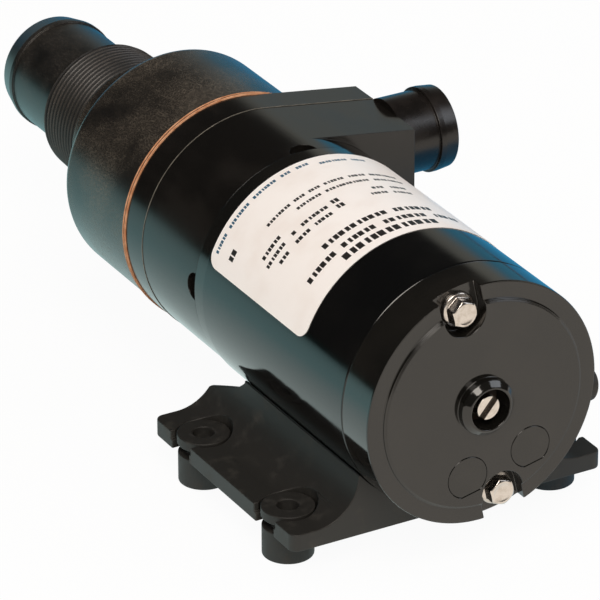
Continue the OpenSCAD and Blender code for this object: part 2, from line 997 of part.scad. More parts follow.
module end_cover() {
  seal_z = cover_len + spigot_depth / 2;
  color("#1d1c1b")
    difference() {
      union() {
        difference() {
          on_axis(rim_y)
            difference() {
              rotate_extrude()
                cover_profile();
              translate([0, 0, cover_end_y - rim_y])
                cylinder(r = spigot_in_r - cover_wall, h = cover_len + spigot_depth);
              translate([0, 0, -disc_h])
                tube(disc_r + past, disc_r - disc_groove_w, disc_groove_depth);
            }
          round_seat(seal_z);
        }
        on_axis(cover_end_y - past)
          cylinder(r = bush_hub_r, h = bush_y + bush_len - cover_end_y + past);
      }
      on_axis(rim_y - disc_h - boss_h - past)
        cylinder(r = boss_hole_r, h = disc_h + boss_h + past + bush_y - rim_y);
      on_axis(bush_y)
        cylinder(r = bush_r + fit_gap, h = bush_len + past);
      for (angle = bolt_angles)
        bolt_notch(angle);
      hole_ring(bolt_angles, bolt_circle_r, bolt_hole_r, rim_y, seam_y + spigot_depth + past);
      at_plugs() {
        translate([0, 0, -past])
          plug_shape(plug_r + fit_gap, plug_flat + fit_gap, plug_t + past);
        cylinder(r = plug_stem_r + fit_gap, h = cover_len);
      }
      radial(lead_angle, lead_y)
        translate([0, 0, lead_mouth_r])
          cylinder(r = lead_stem_r + fit_gap, h = cover_r);
    }
}

// Groove for the sealing ring round the cover's spigot
module round_seat(z) {
  on_axis(rim_y)
    translate([0, 0, z - seal_ring_r])
      tube(spigot_in_r + past, spigot_in_r - 2 * seal_ring_r, 2 * seal_ring_r);
}

module cover_seal() {
  color("#282625")
    on_axis(rim_y)
      round_ring(spigot_in_r - seal_ring_r, seal_ring_r, cover_len + spigot_depth / 2);
}

module rear_bush() {
  color("#a9743f")
    on_axis(bush_y)
      tube(bush_r, journal_r + run_gap, bush_len);
}

module shaft() {
  keyway_z = impeller_y + (impeller_len - key_len) / 2;
  color("#d9cfc4")
    on_axis(0)
      difference() {
        union() {
          translate([0, 0, shaft_rear_y])
            cylinder(r = journal_r, h = seat_y - shaft_rear_y);
          translate([0, 0, seat_y])
            cylinder(r = seat_r, h = bearing_y - seat_y);
          translate([0, 0, bearing_y])
            cylinder(r = shaft_r, h = cutter_y - bearing_y);
          translate([0, 0, cutter_y])
            cylinder(r = tip_r, h = shaft_front_y - cutter_y);
        }
        translate([0, 0, shaft_rear_y])
          rotate([0, 0, -slot_angle])
            translate([-shaft_r, -slot_w / 2, -past])
              cube([2 * shaft_r, slot_w, slot_depth + past]);
        translate([shaft_r - key_w / 2, -key_w / 2, keyway_z])
          cube([key_w, key_w, key_len]);
      }
}

// Slots of the armature core, or the coil sides that lie in them, from z = 0
module slot_set(w, out_r, len) {
  for (slot = [0 : slot_count - 1])
    off_axis(slot * 360 / slot_count, core_r - core_slot_depth)
      translate([0, -w / 2, 0])
        cube([out_r - core_r + core_slot_depth, w, len]);
}

module armature_core() {
  color("#6f6b66")
    on_axis(core_y)
      difference() {
        tube(core_r, seat_r, core_len);
        translate([0, 0, -past])
          slot_set(core_slot_w, core_r + past, core_len + 2 * past);
      }
}

module windings() {
  coil_in_r = core_r - core_slot_depth - 8;
  color("#a8602f")
    on_axis(core_y) {
      for (z = [-coil_end, core_len])
        translate([0, 0, z])
          tube(coil_r, coil_in_r, coil_end);
      translate([0, 0, -past])
        intersection() {
          slot_set(core_slot_w - 2 * coil_gap, core_r - 1, core_len + 2 * past);
          tube(core_r, core_r - core_slot_depth + coil_gap, core_len + 2 * past);
        }
    }
}

module commutator() {
  color("#b87645")
    on_axis(comm_y)
      difference() {
        union() {
          cylinder(r = comm_r, h = comm_len);
          translate([0, 0, comm_len - riser_t])
            cylinder(r = riser_r, h = riser_t);
        }
        translate([0, 0, -past])
          cylinder(r = seat_r, h = comm_len + 2 * past);
        for (bar = [0 : slot_count - 1])
          off_axis((bar + 0.5) * 360 / slot_count, comm_r - comm_slit_depth)
            translate([0, -comm_slit / 2, -past])
              cube([riser_r, comm_slit, comm_len + 2 * past]);
      }
}

module brush_plate() {
  color("#7a5a3a")
    difference() {
      on_axis(brush_plate_y)
        tube(spigot_in_r, brush_plate_hole_r, brush_plate_t);
      hole_ring(bolt_angles, bolt_circle_r, bolt_hole_r, brush_plate_y - past,
        brush_plate_y + brush_plate_t + past);
    }
}

// Box centred across a brush's radial line, between two radii
module radial_box(w, h, from_r, to_r) {
  translate([-w / 2, -h / 2, from_r])
    cube([w, h, to_r - from_r]);
}

module brush_holder(angle) {
  color("#c7a75c")
    radial(angle, brush_y)
      difference() {
        radial_box(brush_w + 2 * (holder_wall + fit_gap), brush_h + 2 * (holder_wall + fit_gap),
          holder_in_r, holder_out_r);
        radial_box(brush_w + 2 * fit_gap, brush_h + 2 * fit_gap, holder_in_r - past,
          holder_out_r - holder_wall);
      }
}

module brush(angle) {
  color("#38363a")
    difference() {
      radial(angle, brush_y)
        radial_box(brush_w, brush_h, comm_r - past, brush_out_r);
      on_axis(brush_y - brush_h)
        cylinder(r = brush_in_r, h = 2 * brush_h);
    }
}

module brush_spring(angle) {
  color("#b9b6b0")
    radial(angle, brush_y)
      translate([0, 0, brush_out_r])
        tube(brush_spring_r, brush_spring_r - brush_spring_wire,
          holder_out_r - holder_wall - brush_out_r);
}

module brush_holder_left() {
  brush_holder(180 + motor_turn);
}

module brush_holder_right() {
  brush_holder(motor_turn);
}

module brush_left() {
  brush(180 + motor_turn);
}

module brush_right() {
  brush(motor_turn);
}

module brush_spring_left() {
  brush_spring(180 + motor_turn);
}

module brush_spring_right() {
  brush_spring(motor_turn);
}

module through_bolts() {
  head_y = rim_y + notch_depth;
  flange_t = 1.5;
  hex_t = notch_depth + disc_h + 0.1 - flange_t;
  dish_r = 3.2;
  dish_depth = 0.6;
  color("#e0d4c8")
    for (angle = bolt_angles)
      on_axis(head_y)
        off_axis(angle, bolt_circle_r)
          difference() {
            union() {
              translate([0, 0, -flange_t])
                cylinder(r = bolt_flange_r, h = flange_t);
              translate([0, 0, -flange_t - hex_t])
                hexagon(bolt_flats, hex_t);
              cylinder(r = bolt_r, h = body_y + bolt_grip - head_y);
            }
            translate([0, 0, -flange_t - hex_t - past])
              cylinder(r = dish_r, h = dish_depth + past);
          }
}

module access_plugs() {
  color("#211f1e")
    at_plugs() {
      plug_shape(plug_r, plug_flat, plug_t);
      cylinder(r = plug_stem_r, h = plug_t + plug_stem_len);
    }
}

module cable_grommet() {
  stem_from = spigot_in_r - cover_wall;
  color("#262423")
    difference() {
      union() {
        radial(lead_angle, lead_y)
          translate([0, 0, stem_from])
            cylinder(r = lead_stem_r, h = cover_r + lead_out - stem_from);
        difference() {
          radial(lead_angle, lead_y)
            translate([0, 0, cover_r - lead_rim_sink])
              cylinder(r = lead_rim_r, h = lead_out + lead_rim_sink);
          on_axis(rim_y)
            cylinder(r = cover_r + fit_gap, h = cover_len);
        }
      }
      radial(lead_angle, lead_y)
        cylinder(r = lead_hole_r, h = cover_r + lead_out + past);
    }
}

module label() {
  label_y = can_front_y - label_back - label_w;
  mid = (label_from + label_to) / 2;
  half = (label_from - label_to) / 2;
  corner_in = label_corner_r - corner_nip;
  corner_turn = half - corner_in / can_r * 180 / PI;
  reach = 3 * can_r;
  color("#fbf5f0")
    difference() {
      on_axis(label_y)
        rotate([0, 0, -mid])
          linear_extrude(label_w)
            intersection() {
              difference() {
                circle(label_in_r + label_t);
                circle(label_in_r);
              }
              polygon([
                [0, 0], reach * [cos(half), sin(half)], [reach, 0], reach * [cos(half), -sin(half)]
              ]);
            }
      for (turn = [-1, 1])
        for (end = [0, 1])
          radial(mid + turn * corner_turn, label_y + corner_in + end * (label_w - 2 * corner_in))
            label_corner(turn, end);
    }
}

// What is cut off one corner of the label, to leave it round
module label_corner(turn, end) {
  size = 3 * label_corner_r;
  translate([0, 0, can_r / 2])
    difference() {
      translate([turn > 0 ? -size : 0, end > 0 ? 0 : -size, 0])
        cube([size, size, can_r]);
      translate([0, 0, -past])
        cylinder(r = label_corner_r, h = can_r + 2 * past);
    }
}

// Section of the base across the motor axis, heights from that axis
module base_section() {
  difference() {
    union() {
      translate([-base_w / 2, -plate_drop - base_t])
        square([base_w, base_t]);
      translate([-flank_x, -plate_drop - base_t])
        square([2 * flank_x, base_t + flank_r]);
    }
    for (side = [-1, 1])
      translate([side * flank_x, -flank_top])
        circle(flank_r);
    circle(saddle_r);
  }
}

// Plan of the base plate with round corners
module base_plan() {
  square([base_w, base_len - 2 * base_corner_r], center = true);
  square([base_w - 2 * base_corner_r, base_len], center = true);
  for (x = [-1, 1])
    for (y = [-1, 1])
      translate([x * (base_w / 2 - base_corner_r), y * (base_len / 2 - base_corner_r)])
        circle(base_corner_r);
}

// Mouth of a foot's slot, half as wide as given, from z upwards and out through the plate's side
module slot_mouth(side, half, z) {
  translate([side > 0 ? 0 : -base_w, -half, z])
    cube([base_w, 2 * half, axis_h / 2 - z]);
}

// Open slot for a foot, with a spot face round its flange and a wider mouth over the seat
module foot_slot(side, end) {
  slot_r = foot_neck_r + fit_gap;
  spot_r = foot_flange_r + spot_gap;
  translate([side * foot_spacing_x / 2, end * foot_spacing_y / 2, 0]) {
    cylinder(r = slot_r, h = axis_h / 2);
    slot_mouth(side, slot_r, 0);
    slot_mouth(side, slot_r + mouth_step, foot_seat_z);
    translate([0, 0, foot_seat_z])
      cylinder(r = spot_r, h = axis_h / 2 - foot_seat_z);
  }
}

// Section of the pocket between the flank walls at the far end, heights from the motor axis
module pocket_section() {
  difference() {
    translate([-flank_x, -pocket_drop])
      square([2 * flank_x, pocket_drop - flank_top + flank_r / 2]);
    for (side = [-1, 1])
      translate([side * flank_x, -flank_top])
        circle(flank_r + pocket_wall);
  }
}

module base() {
  color("#2a2623")
    difference() {
      intersection() {
        translate([0, base_len / 2, axis_h])
          rotate([90, 0, 0])
            linear_extrude(base_len)
              base_section();
        linear_extrude(axis_h)
          base_plan();
      }
      translate([-base_w / 2, 0, axis_h])
        rotate([90, 0, 90])
          linear_extrude(base_w)
            polygon(far_cut);
      translate([0, base_len / 2 + past, axis_h])
        rotate([90, 0, 0])
          linear_extrude(base_len / 2 + past - pocket_y)
            pocket_section();
      for (side = [0, 1])
        mirror([side, 0, 0])
          for (run = hollow_y)
            translate([0, run[1], axis_h])
              rotate([90, 0, 0])
                linear_extrude(run[1] - run[0])
                  polygon(hollow);
      for (side = [-1, 1])
        for (end = [-1, 1])
          foot_slot(side, end);
      for (y = [-base_screw_y, base_screw_y])
        translate([0, y, 0])
          cylinder(r = bolt_hole_r, h = axis_h);
    }
}

// Rubber foot: flange on the plate, neck in the slot, pad on the floor
module foot(side, end) {
  color("#1c1a19")
    translate([side * foot_spacing_x / 2, end * foot_spacing_y / 2, 0])
      difference() {
        union() {
          cylinder(r = foot_r, h = plate_low_z);
          cylinder(r = foot_neck_r, h = foot_seat_z + past);
          translate([0, 0, foot_seat_z])
            cylinder(r = foot_flange_r, h = foot_flange_t);
        }
        translate([0, 0, -past])
          cylinder(r = foot_hole_r, h = plate_top_z + foot_seat_drop + 2 * past);
      }
}

module foot_rear_left() {
  foot(-1, -1);
}

module foot_rear_right() {
  foot(1, -1);
}

module foot_front_left() {
  foot(-1, 1);
}

module foot_front_right() {
  foot(1, 1);
}

module base_screws() {
  tip_z = axis_h - can_in_r + nut_h + screw_tip;
  cross_w = 1.2;
  cross_len = 5;
  color("#c9c2b8")
    for (y = [-base_screw_y, base_screw_y])
      translate([0, y, plate_low_z])
        difference() {
          union() {
            translate([0, 0, -base_head_h])
              cylinder(r = base_head_r, h = base_head_h);
            cylinder(r = bolt_r, h = tip_z - plate_low_z);
          }
          for (turn = [0, 90])
            rotate([0, 0, turn])
              translate([-cross_len / 2, -cross_w / 2, -base_head_h - past])
                cube([cross_len, cross_w, past + base_head_h / 2]);
        }
}

module base_nuts() {
  color("#a9a49c")
    for (y = [-base_screw_y, base_screw_y])
      difference() {
        intersection() {
          translate([-nut_w / 2, y - nut_w / 2, axis_h - can_in_r - past])
            cube([nut_w, nut_w, nut_h + past]);
          on_axis(y - nut_w)
            cylinder(r = can_in_r, h = 2 * nut_w);
        }
        translate([0, y, axis_h - can_r])
          cylinder(r = bolt_r, h = can_r);
      }
}

inlet_housing();
inlet_neck();
hose_tail();
housing_gasket();
wear_plate();
body_gasket();
housing_screws();
pump_body();
outlet_spigot();
impeller();
impeller_insert();
impeller_key();
cutter();
cutter_washer();
cutter_nut();
shaft_seal();
seal_spring();
slinger();
front_plate();
bearing_outer_race();
bearing_inner_race();
bearing_balls();
bearing_cage();
bearing_clip();
motor_can();
magnet_left();
magnet_right();
end_cover();
cover_seal();
rear_bush();
shaft();
armature_core();
windings();
commutator();
brush_plate();
brush_holder_left();
brush_holder_right();
brush_left();
brush_right();
brush_spring_left();
brush_spring_right();
through_bolts();
access_plugs();
cable_grommet();
label();
base();
foot_rear_left();
foot_rear_right();
foot_front_left();
foot_front_right();
base_screws();
base_nuts();
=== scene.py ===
"""Looks of a macerator toilet pump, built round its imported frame.

The frame gives every solid in its place. This script gives each of them the
finish of its real material, rounds the edges that moulding and casting leave
round, and replaces the solids whose real shape is finer: the hose tail, the
helical pipe thread, the outlet spigot, the rubber feet, the bolt heads and the
printed label. It adds the ridge on the body's parting line and the dull floor of
the shaft's slot.
"""

import logging
import math
from dataclasses import dataclass, field
from enum import Enum
from typing import Any, Iterable, Sequence

import bmesh
import bpy
from mathutils import Matrix, Vector


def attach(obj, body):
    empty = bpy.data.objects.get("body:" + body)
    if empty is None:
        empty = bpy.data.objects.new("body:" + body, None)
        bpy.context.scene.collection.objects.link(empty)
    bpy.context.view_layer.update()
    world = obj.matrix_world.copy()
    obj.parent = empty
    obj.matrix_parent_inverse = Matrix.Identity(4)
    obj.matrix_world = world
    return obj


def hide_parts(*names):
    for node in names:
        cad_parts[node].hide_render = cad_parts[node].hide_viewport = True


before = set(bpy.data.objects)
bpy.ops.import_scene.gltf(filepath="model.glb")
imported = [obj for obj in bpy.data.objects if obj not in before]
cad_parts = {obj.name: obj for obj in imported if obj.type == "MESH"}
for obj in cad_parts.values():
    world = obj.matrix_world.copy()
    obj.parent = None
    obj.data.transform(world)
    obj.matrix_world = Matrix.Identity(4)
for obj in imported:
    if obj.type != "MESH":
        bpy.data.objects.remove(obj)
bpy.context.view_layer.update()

log = logging.getLogger("pump_scene")

# A millimetre in metres.
MM = 0.001
# Height of the motor axis over the floor, in millimetres.
AXIS_Z = 56.2
# Columns round a large round piece.
ROUND_STEPS = 128
# Points of a new piece that lie closer than this, in metres, are one point.
SAME_POINT = 1e-7
# Edges of a new piece that bend by more degrees than this stay sharp.
SHARP_FROM = 38

Point = tuple[float, float]
Corner = tuple[float, float, float]
Place = tuple[float, float, float]
Tree = bpy.types.NodeTree
Socket = bpy.types.NodeSocket


class Edge(Enum):
    """How far the edges of a solid are rounded, in millimetres."""

    SHARP = 0.0
    MACHINED = 0.12
    CRISP = 0.14
    EASED = 0.3
    MOULDED = 0.4


class Body(Enum):
    """The bodies of the frame that new pieces ride on."""

    PUMP = "pump"
    ROTOR = "rotor"


def linear(colour: str) -> tuple[float, float, float, float]:
    """Turn an sRGB hex colour into linear values.

    Args:
        colour: Six hex digits after a hash sign.

    Returns:
        Red, green, blue and an alpha of 1.
    """
    parts = [int(colour[i:i + 2], 16) / 255 for i in (1, 3, 5)]
    red, green, blue = (
        part / 12.92 if part <= 0.04045 else ((part + 0.055) / 1.055) ** 2.4
        for part in parts
    )
    return red, green, blue, 1.0


def per_mm(size: float) -> float:
    """Give the texture scale whose features are this many millimetres wide."""
    return 1.0 / (size * MM)


def add_node(
    tree: Tree, kind: str, inputs: dict[str | int, Any] | None = None, **settings: Any
) -> bpy.types.Node:
    """Add a shader node, with its settings and its links.

    Args:
        tree: The node tree that takes the node.
        kind: Blender's name of the node's type.
        inputs: For each socket, by name or place, a value or the output to link.
        settings: Properties of the node.

    Returns:
        The new node.
    """
    node = tree.nodes.new(kind)
    for name, value in settings.items():
        setattr(node, name, value)
    for key, value in (inputs or {}).items():
        if isinstance(value, Socket):
            tree.links.new(value, node.inputs[key])
        else:
            node.inputs[key].default_value = value
    return node


@dataclass(frozen=True)
class Grain:
    """A cloudy pattern in a surface.

    Attributes:
        size: Width of its features in millimetres.
        detail: How many finer layers lie on it.
        length: How many times longer than that they are along x, y and z.
        turn: Angles in degrees that the long features are turned by.
    """

    size: float
    detail: float = 3.0
    length: tuple[float, float, float] = (1.0, 1.0, 1.0)
    turn: tuple[float, float, float] = (0.0, 0.0, 0.0)

    def output(self, tree: Tree) -> Socket:
        """Draw the pattern in the piece's own coordinates.

        Args:
            tree: The material's node tree.

        Returns:
            The pattern's value, from 0 to 1 about a half.
        """
        place = add_node(tree, "ShaderNodeTexCoord")
        scaled = add_node(
            tree, "ShaderNodeMapping",
            {
                "Vector": place.outputs["Object"],
                "Rotation": tuple(math.radians(angle) for angle in self.turn),
                "Scale": self.length,
            },
            vector_type="TEXTURE",
        )
        noise = add_node(
            tree, "ShaderNodeTexNoise",
            {
                "Vector": scaled.outputs["Vector"],
                "Scale": per_mm(self.size),
                "Detail": self.detail,
            },
        )
        return noise.outputs["Fac"]


@dataclass(frozen=True)
class Finish:
    """A material and how its surface was made.

    Attributes:
        name: The material's name.
        colour: Main colour, as sRGB hex.
        second: Colour that its mottle runs to, as sRGB hex.
        mottle: Pattern of the mottle.
        spread: Pattern values where the mottle starts and is full.
        rough: Roughness at the main and at the second colour.
        grit: Pattern of the surface's own relief.
        relief: Height of that relief in millimetres.
        ior: Index of refraction.
        metallic: 1 for bare metal.
    """

    name: str
    colour: str
    second: str
    mottle: Grain
    spread: Point
    rough: Point
    grit: Grain
    relief: float
    ior: float = 1.5
    metallic: float = 0.0

    def material(self) -> bpy.types.Material:
        """Make the material once.

        Returns:
            The Blender material.
        """
        made = bpy.data.materials.get(self.name)
        if made is not None:
            return made
        made = bpy.data.materials.new(self.name)
        made.use_nodes = True
        tree = made.node_tree
        tree.nodes.clear()
        share = self.share(tree)
        rough = add_node(
            tree, "ShaderNodeMapRange",
            {"Value": share, "To Min": self.rough[0], "To Max": self.rough[1]},
        )
        colour = add_node(
            tree, "ShaderNodeMix",
            {0: share, 6: linear(self.colour), 7: linear(self.second)}, data_type="RGBA",
        )
        bump = add_node(
            tree, "ShaderNodeBump",
            {"Height": self.height(tree), "Distance": self.relief * MM, "Strength": 1.0},
        )
        surface = add_node(
            tree, "ShaderNodeBsdfPrincipled",
            {
                "Base Color": colour.outputs[2],
                "Roughness": rough.outputs["Result"],
                "Normal": bump.outputs["Normal"],
                "Metallic": self.metallic,
                "IOR": self.ior,
            },
        )
        add_node(tree, "ShaderNodeOutputMaterial", {"Surface": surface.outputs["BSDF"]})
        return made

    def share(self, tree: Tree) -> Socket:
        """Give how far the surface runs to its second colour, from 0 to 1."""
        start, end = self.spread
        return add_node(
            tree, "ShaderNodeMapRange",
            {"Value": self.mottle.output(tree), "From Min": start, "From Max": end},
            interpolation_type="SMOOTHSTEP",
        ).outputs["Result"]

    def height(self, tree: Tree) -> Socket:
        """Give the height of the surface's relief, from 0 to 1."""
        return self.grit.output(tree)


@dataclass(frozen=True)
class FibreFinish(Finish):
    """A moulding whose short fibres show at its skin.

    Attributes:
        fibre: Width of a strand in millimetres.
        strand: How many times longer than wide a strand is.
        ways: Directions that the strands lie in, as turns in degrees.
        band: Pattern values where a strand starts to show and is full.
        least: Share of the cloud that shows where no strand lies.
    """

    fibre: float = 0.4
    strand: float = 8.0
    ways: tuple[tuple[float, float, float], ...] = (
        (0, 0, 10), (0, 0, 65), (0, 50, -40), (55, 0, 25),
    )
    band: Point = (0.58, 0.76)
    least: float = 0.22

    def share(self, tree: Tree) -> Socket:
        """Lay the strands over the cloud.

        Args:
            tree: The material's node tree.

        Returns:
            How far the surface runs to its second colour, from 0 to 1.
        """
        layers = [
            Grain(self.fibre, 1.0, (1, self.strand, 1), way).output(tree) for way in self.ways
        ]
        most = layers[0]
        for layer in layers[1:]:
            most = add_node(
                tree, "ShaderNodeMath", {0: most, 1: layer}, operation="MAXIMUM"
            ).outputs[0]
        start, end = self.band
        strands = add_node(
            tree, "ShaderNodeMapRange",
            {"Value": most, "From Min": start, "From Max": end, "To Min": self.least},
        )
        return add_node(
            tree, "ShaderNodeMath", {0: super().share(tree), 1: strands.outputs["Result"]},
            operation="MULTIPLY",
        ).outputs[0]


# Black enamel stoved on drawn steel: a deep gloss whose reflections waver with the
# orange peel of the sprayed coat.
ENAMELLED_STEEL = Finish(
    "stoved_black_enamel_on_drawn_steel", "#0a0a0a", "#100f0e", Grain(30), (0.4, 0.7),
    (0.09, 0.14), Grain(2.4, 1.0), 0.006, ior=1.56,
)
# The same enamel over a die casting, a little browner where it lies thin.
ENAMELLED_CASTING = Finish(
    "stoved_black_enamel_on_die_casting", "#12110f", "#191714", Grain(24), (0.4, 0.7),
    (0.08, 0.13), Grain(2.0, 1.0), 0.005, ior=1.62,
)
# Polypropylene from a polished mould: black, with a satin gloss and faint flow marks.
BODY_PLASTIC = Finish(
    "polished_mould_black_polypropylene", "#12100e", "#1d1a17", Grain(16, 4.0, (1, 2.5, 1)),
    (0.42, 0.68), (0.14, 0.22), Grain(3.0, 1.0), 0.006,
)
# The same plastic on the spigot, a little browner than the body's and with a rougher satin.
SPIGOT_PLASTIC = Finish(
    "browner_satin_black_polypropylene", "#151210", "#221d1a", Grain(10, 4.0), (0.4, 0.7),
    (0.24, 0.34), Grain(3.0, 1.0), 0.006,
)
# Nylon with a third of glass: strands near the skin give a brown fleece over black. The
# real fibres are a hundredth of a millimetre thick and are drawn as the bundles that show.
FILLED_PLASTIC = FibreFinish(
    "moulded_glass_filled_nylon", "#171513", "#645a4e", Grain(22, 3.0), (0.28, 0.72),
    (0.24, 0.4), Grain(0.8, 3.0), 0.006,
)
# The same nylon on the hose tail, where a polished mould left a darker and closer skin.
TAIL_PLASTIC = FibreFinish(
    "polished_glass_filled_nylon", "#151412", "#423c36", Grain(14, 3.0), (0.28, 0.7),
    (0.3, 0.42), Grain(0.8, 3.0), 0.004,
)
# The same nylon on the crests of the thread, rubbed paler and painted paler still as a highlight
# along each crest.
THREAD_CREST_HIGHLIGHT = FibreFinish(
    "rubbed_nylon_with_painted_highlight", "#2d2924", "#4d453e", Grain(9, 3.0), (0.3, 0.7),
    (0.35, 0.45), Grain(0.8, 3.0), 0.004,
)
# And in its grooves, where no light reaches the fibres.
THREAD_ROOT = FibreFinish(
    "shaded_glass_filled_nylon", "#0f0d0c", "#1a1715", Grain(9, 3.0), (0.3, 0.7),
    (0.5, 0.6), Grain(0.8, 3.0), 0.004,
)
# Flash along the mould's parting line, coloured pale as a painted highlight: a thread of light
# along the ridge.
PARTING_FLASH_HIGHLIGHT = Finish(
    "parting_flash_painted_highlight", "#5f5a51", "#7f786c", Grain(3, 3.0), (0.35, 0.7),
    (0.4, 0.5), Grain(0.5, 2.0), 0.004,
)
# Rubber-toughened plastic from a spark-eroded mould: flat black-brown with fine scuffs.
BASE_PLASTIC = Finish(
    "spark_eroded_mould_black_plastic", "#272522", "#393631", Grain(6, 6.0), (0.5, 0.8),
    (0.55, 0.68), Grain(0.6, 3.0), 0.012,
)
# Compression-moulded black rubber, matt, with a bloom of talc in its pores.
RUBBER = Finish(
    "moulded_black_rubber", "#252320", "#34312d", Grain(3, 4.0), (0.45, 0.8),
    (0.6, 0.75), Grain(0.5, 2.0), 0.01, ior=1.52,
)
# Pressed vegetable fibre, tan with paler strands, cut with a knife edge.
GASKET_FIBRE = Finish(
    "pressed_tan_gasket_fibre", "#c07f55", "#dda47c", Grain(0.9, 3.0, (3, 1, 3)), (0.35, 0.65),
    (0.7, 0.85), Grain(0.5, 2.0), 0.01,
)
# Cold-headed stainless steel, bright, with a warm tint in its colour that is a painted reflection
# of the room.
STAINLESS = Finish(
    "bright_stainless_steel", "#ded7d0", "#ccc3ba", Grain(2.5, 3.0), (0.4, 0.7),
    (0.2, 0.28), Grain(0.8, 2.0), 0.002, metallic=1.0,
)
# Steel dulled by brown oxide, as on the rim of a wet plate; the same dark brown also lies on the
# floor of the shaft's slot.
DULL_STEEL = Finish(
    "dull_dark_brown_steel", "#2e2620", "#43382f", Grain(1.2, 3.0), (0.4, 0.7),
    (0.45, 0.6), Grain(0.4, 2.0), 0.004,
)
# Ground bearing or spring steel, finer and cooler than the bolts.
BEARING_STEEL = Finish(
    "ground_bearing_steel", "#c4c4c6", "#acacb0", Grain(1.0, 2.0), (0.4, 0.7),
    (0.15, 0.25), Grain(0.3, 1.0), 0.002, metallic=1.0,
)
# Sintered bronze soaked in oil, darkened further as painted shade for the bore it sits in: dark
# brown, hardly a metal to the eye.
OILED_BRONZE_IN_SHADE = Finish(
    "oil_soaked_bronze_with_painted_shade", "#2a1f16", "#3c2c1e", Grain(1.2, 3.0), (0.4, 0.7),
    (0.4, 0.55), Grain(0.4, 2.0), 0.006,
)
# Turned brass.
BRASS = Finish(
    "turned_brass", "#c8a25c", "#a77f3f", Grain(2.0, 3.0), (0.4, 0.7),
    (0.25, 0.4), Grain(0.4, 2.0), 0.004, metallic=1.0,
)
# Drawn copper of bars and wire, darkened a little by varnish.
COPPER = Finish(
    "varnished_drawn_copper", "#b8693f", "#8a4526", Grain(1.5, 3.0), (0.35, 0.7),
    (0.25, 0.4), Grain(0.5, 2.0), 0.01, metallic=1.0,
)
# Stacked electrical steel sheets, their edges a stripe every half millimetre.
CORE_STEEL = Finish(
    "stacked_electrical_steel", "#6d6964", "#4c4843", Grain(0.5, 1.0, (50, 1, 50)),
    (0.35, 0.65), (0.4, 0.55), Grain(0.5, 1.0, (50, 1, 50)), 0.02, metallic=1.0,
)
# Sintered ferrite, dark grey like slate.
FERRITE = Finish(
    "sintered_ferrite", "#45423f", "#57534f", Grain(2.0, 4.0), (0.4, 0.7),
    (0.5, 0.65), Grain(0.6, 3.0), 0.02,
)
# Brown paper laminate of the brush plate.
BOARD = Finish(
    "phenolic_paper_board", "#6b4326", "#855a37", Grain(3.0, 4.0, (1, 1, 3)), (0.4, 0.7),
    (0.35, 0.5), Grain(0.8, 2.0), 0.01,
)
# Pressed carbon of the brushes, with a graphite sheen.
CARBON = Finish(
    "pressed_graphite_carbon", "#2c2a2c", "#3f3c40", Grain(0.8, 3.0), (0.4, 0.7),
    (0.35, 0.5), Grain(0.4, 2.0), 0.01,
)
# Injection-moulded plugs of the cover, as glossy as its enamel.
COVER_PLASTIC = Finish(
    "gloss_moulded_plug_plastic", "#13120f", "#1a1815", Grain(8), (0.4, 0.7),
    (0.1, 0.16), Grain(1.5, 1.0), 0.004, ior=1.6,
)
# Vinyl label film, warm white with a soft sheen.
LABEL_FILM = Finish(
    "satin_vinyl_label_film", "#fdf6f1", "#f6ece5", Grain(14), (0.4, 0.8),
    (0.36, 0.46), Grain(1.0, 2.0), 0.003,
)
# Screen ink on the film, black with pinholes that the mesh leaves.
LABEL_INK = Finish(
    "screen_printed_black_ink", "#25211f", "#3d3835", Grain(0.5, 2.0), (0.55, 0.8),
    (0.4, 0.5), Grain(0.4, 1.0), 0.003,
)
# The second ink of the print, a dull blue.
LABEL_BLUE = Finish(
    "screen_printed_blue_ink", "#2d5a74", "#4d7890", Grain(0.5, 2.0), (0.55, 0.8),
    (0.4, 0.5), Grain(0.4, 1.0), 0.003,
)


def new_piece(
    name: str,
    mesh: bmesh.types.BMesh,
    finish: Finish,
    replaces: Sequence[str] = (),
    more: Sequence[Finish] = (),
    body: Body = Body.PUMP,
) -> bpy.types.Object:
    """Turn a built mesh into a piece of the object.

    Args:
        name: The piece's name.
        mesh: Its mesh in metres, freed afterwards.
        finish: Its finish.
        replaces: Solids of the frame that it stands for.
        more: Finishes of the faces whose material index is above 0.
        body: The body that it rides on.

    Returns:
        The new object.
    """
    bmesh.ops.remove_doubles(mesh, verts=mesh.verts, dist=SAME_POINT)
    bmesh.ops.recalc_face_normals(mesh, faces=mesh.faces)
    for face in mesh.faces:
        face.smooth = True
    data = bpy.data.meshes.new(name)
    mesh.to_mesh(data)
    mesh.free()
    data.set_sharp_from_angle(angle=math.radians(SHARP_FROM))
    piece = bpy.data.objects.new(name, data)
    bpy.context.scene.collection.objects.link(piece)
    for each in (finish, *more):
        data.materials.append(each.material())
    weigh = piece.modifiers.new("even_normals", "WEIGHTED_NORMAL")
    weigh.keep_sharp = True
    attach(piece, body.value)
    if replaces:
        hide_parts(*replaces)
    log.info("%s: %d faces", name, len(data.polygons))
    return piece


def fillet(corners: Iterable[Corner], steps: int = 5) -> list[Point]:
    """Round the corners of a closed outline.

    Args:
        corners: Each corner's two coordinates and its radius, all in millimetres.
        steps: Straight pieces in each round.

    Returns:
        The outline's points.
    """
    points = list(corners)
    outline: list[Point] = []
    for i, (u, v, radius) in enumerate(points):
        here = Vector((u, v))
        before = Vector(points[i - 1][:2]) - here
        after = Vector(points[(i + 1) % len(points)][:2]) - here
        if radius <= 0:
            outline.append((u, v))
            continue
        half = before.angle(after) / 2
        reach = radius / math.tan(half)
        centre = here + (before.normalized() + after.normalized()).normalized() * (
            radius / math.sin(half)
        )
        start = here + before.normalized() * reach - centre
        end = here + after.normalized() * reach - centre
        turn = math.atan2(start.x * end.y - start.y * end.x, start.dot(end))
        for step in range(steps + 1):
            angle = turn * step / steps
            cos, sin = math.cos(angle), math.sin(angle)
            outline.append((
                centre.x + start.x * cos - start.y * sin,
                centre.y + start.x * sin + start.y * cos,
            ))
    return outline


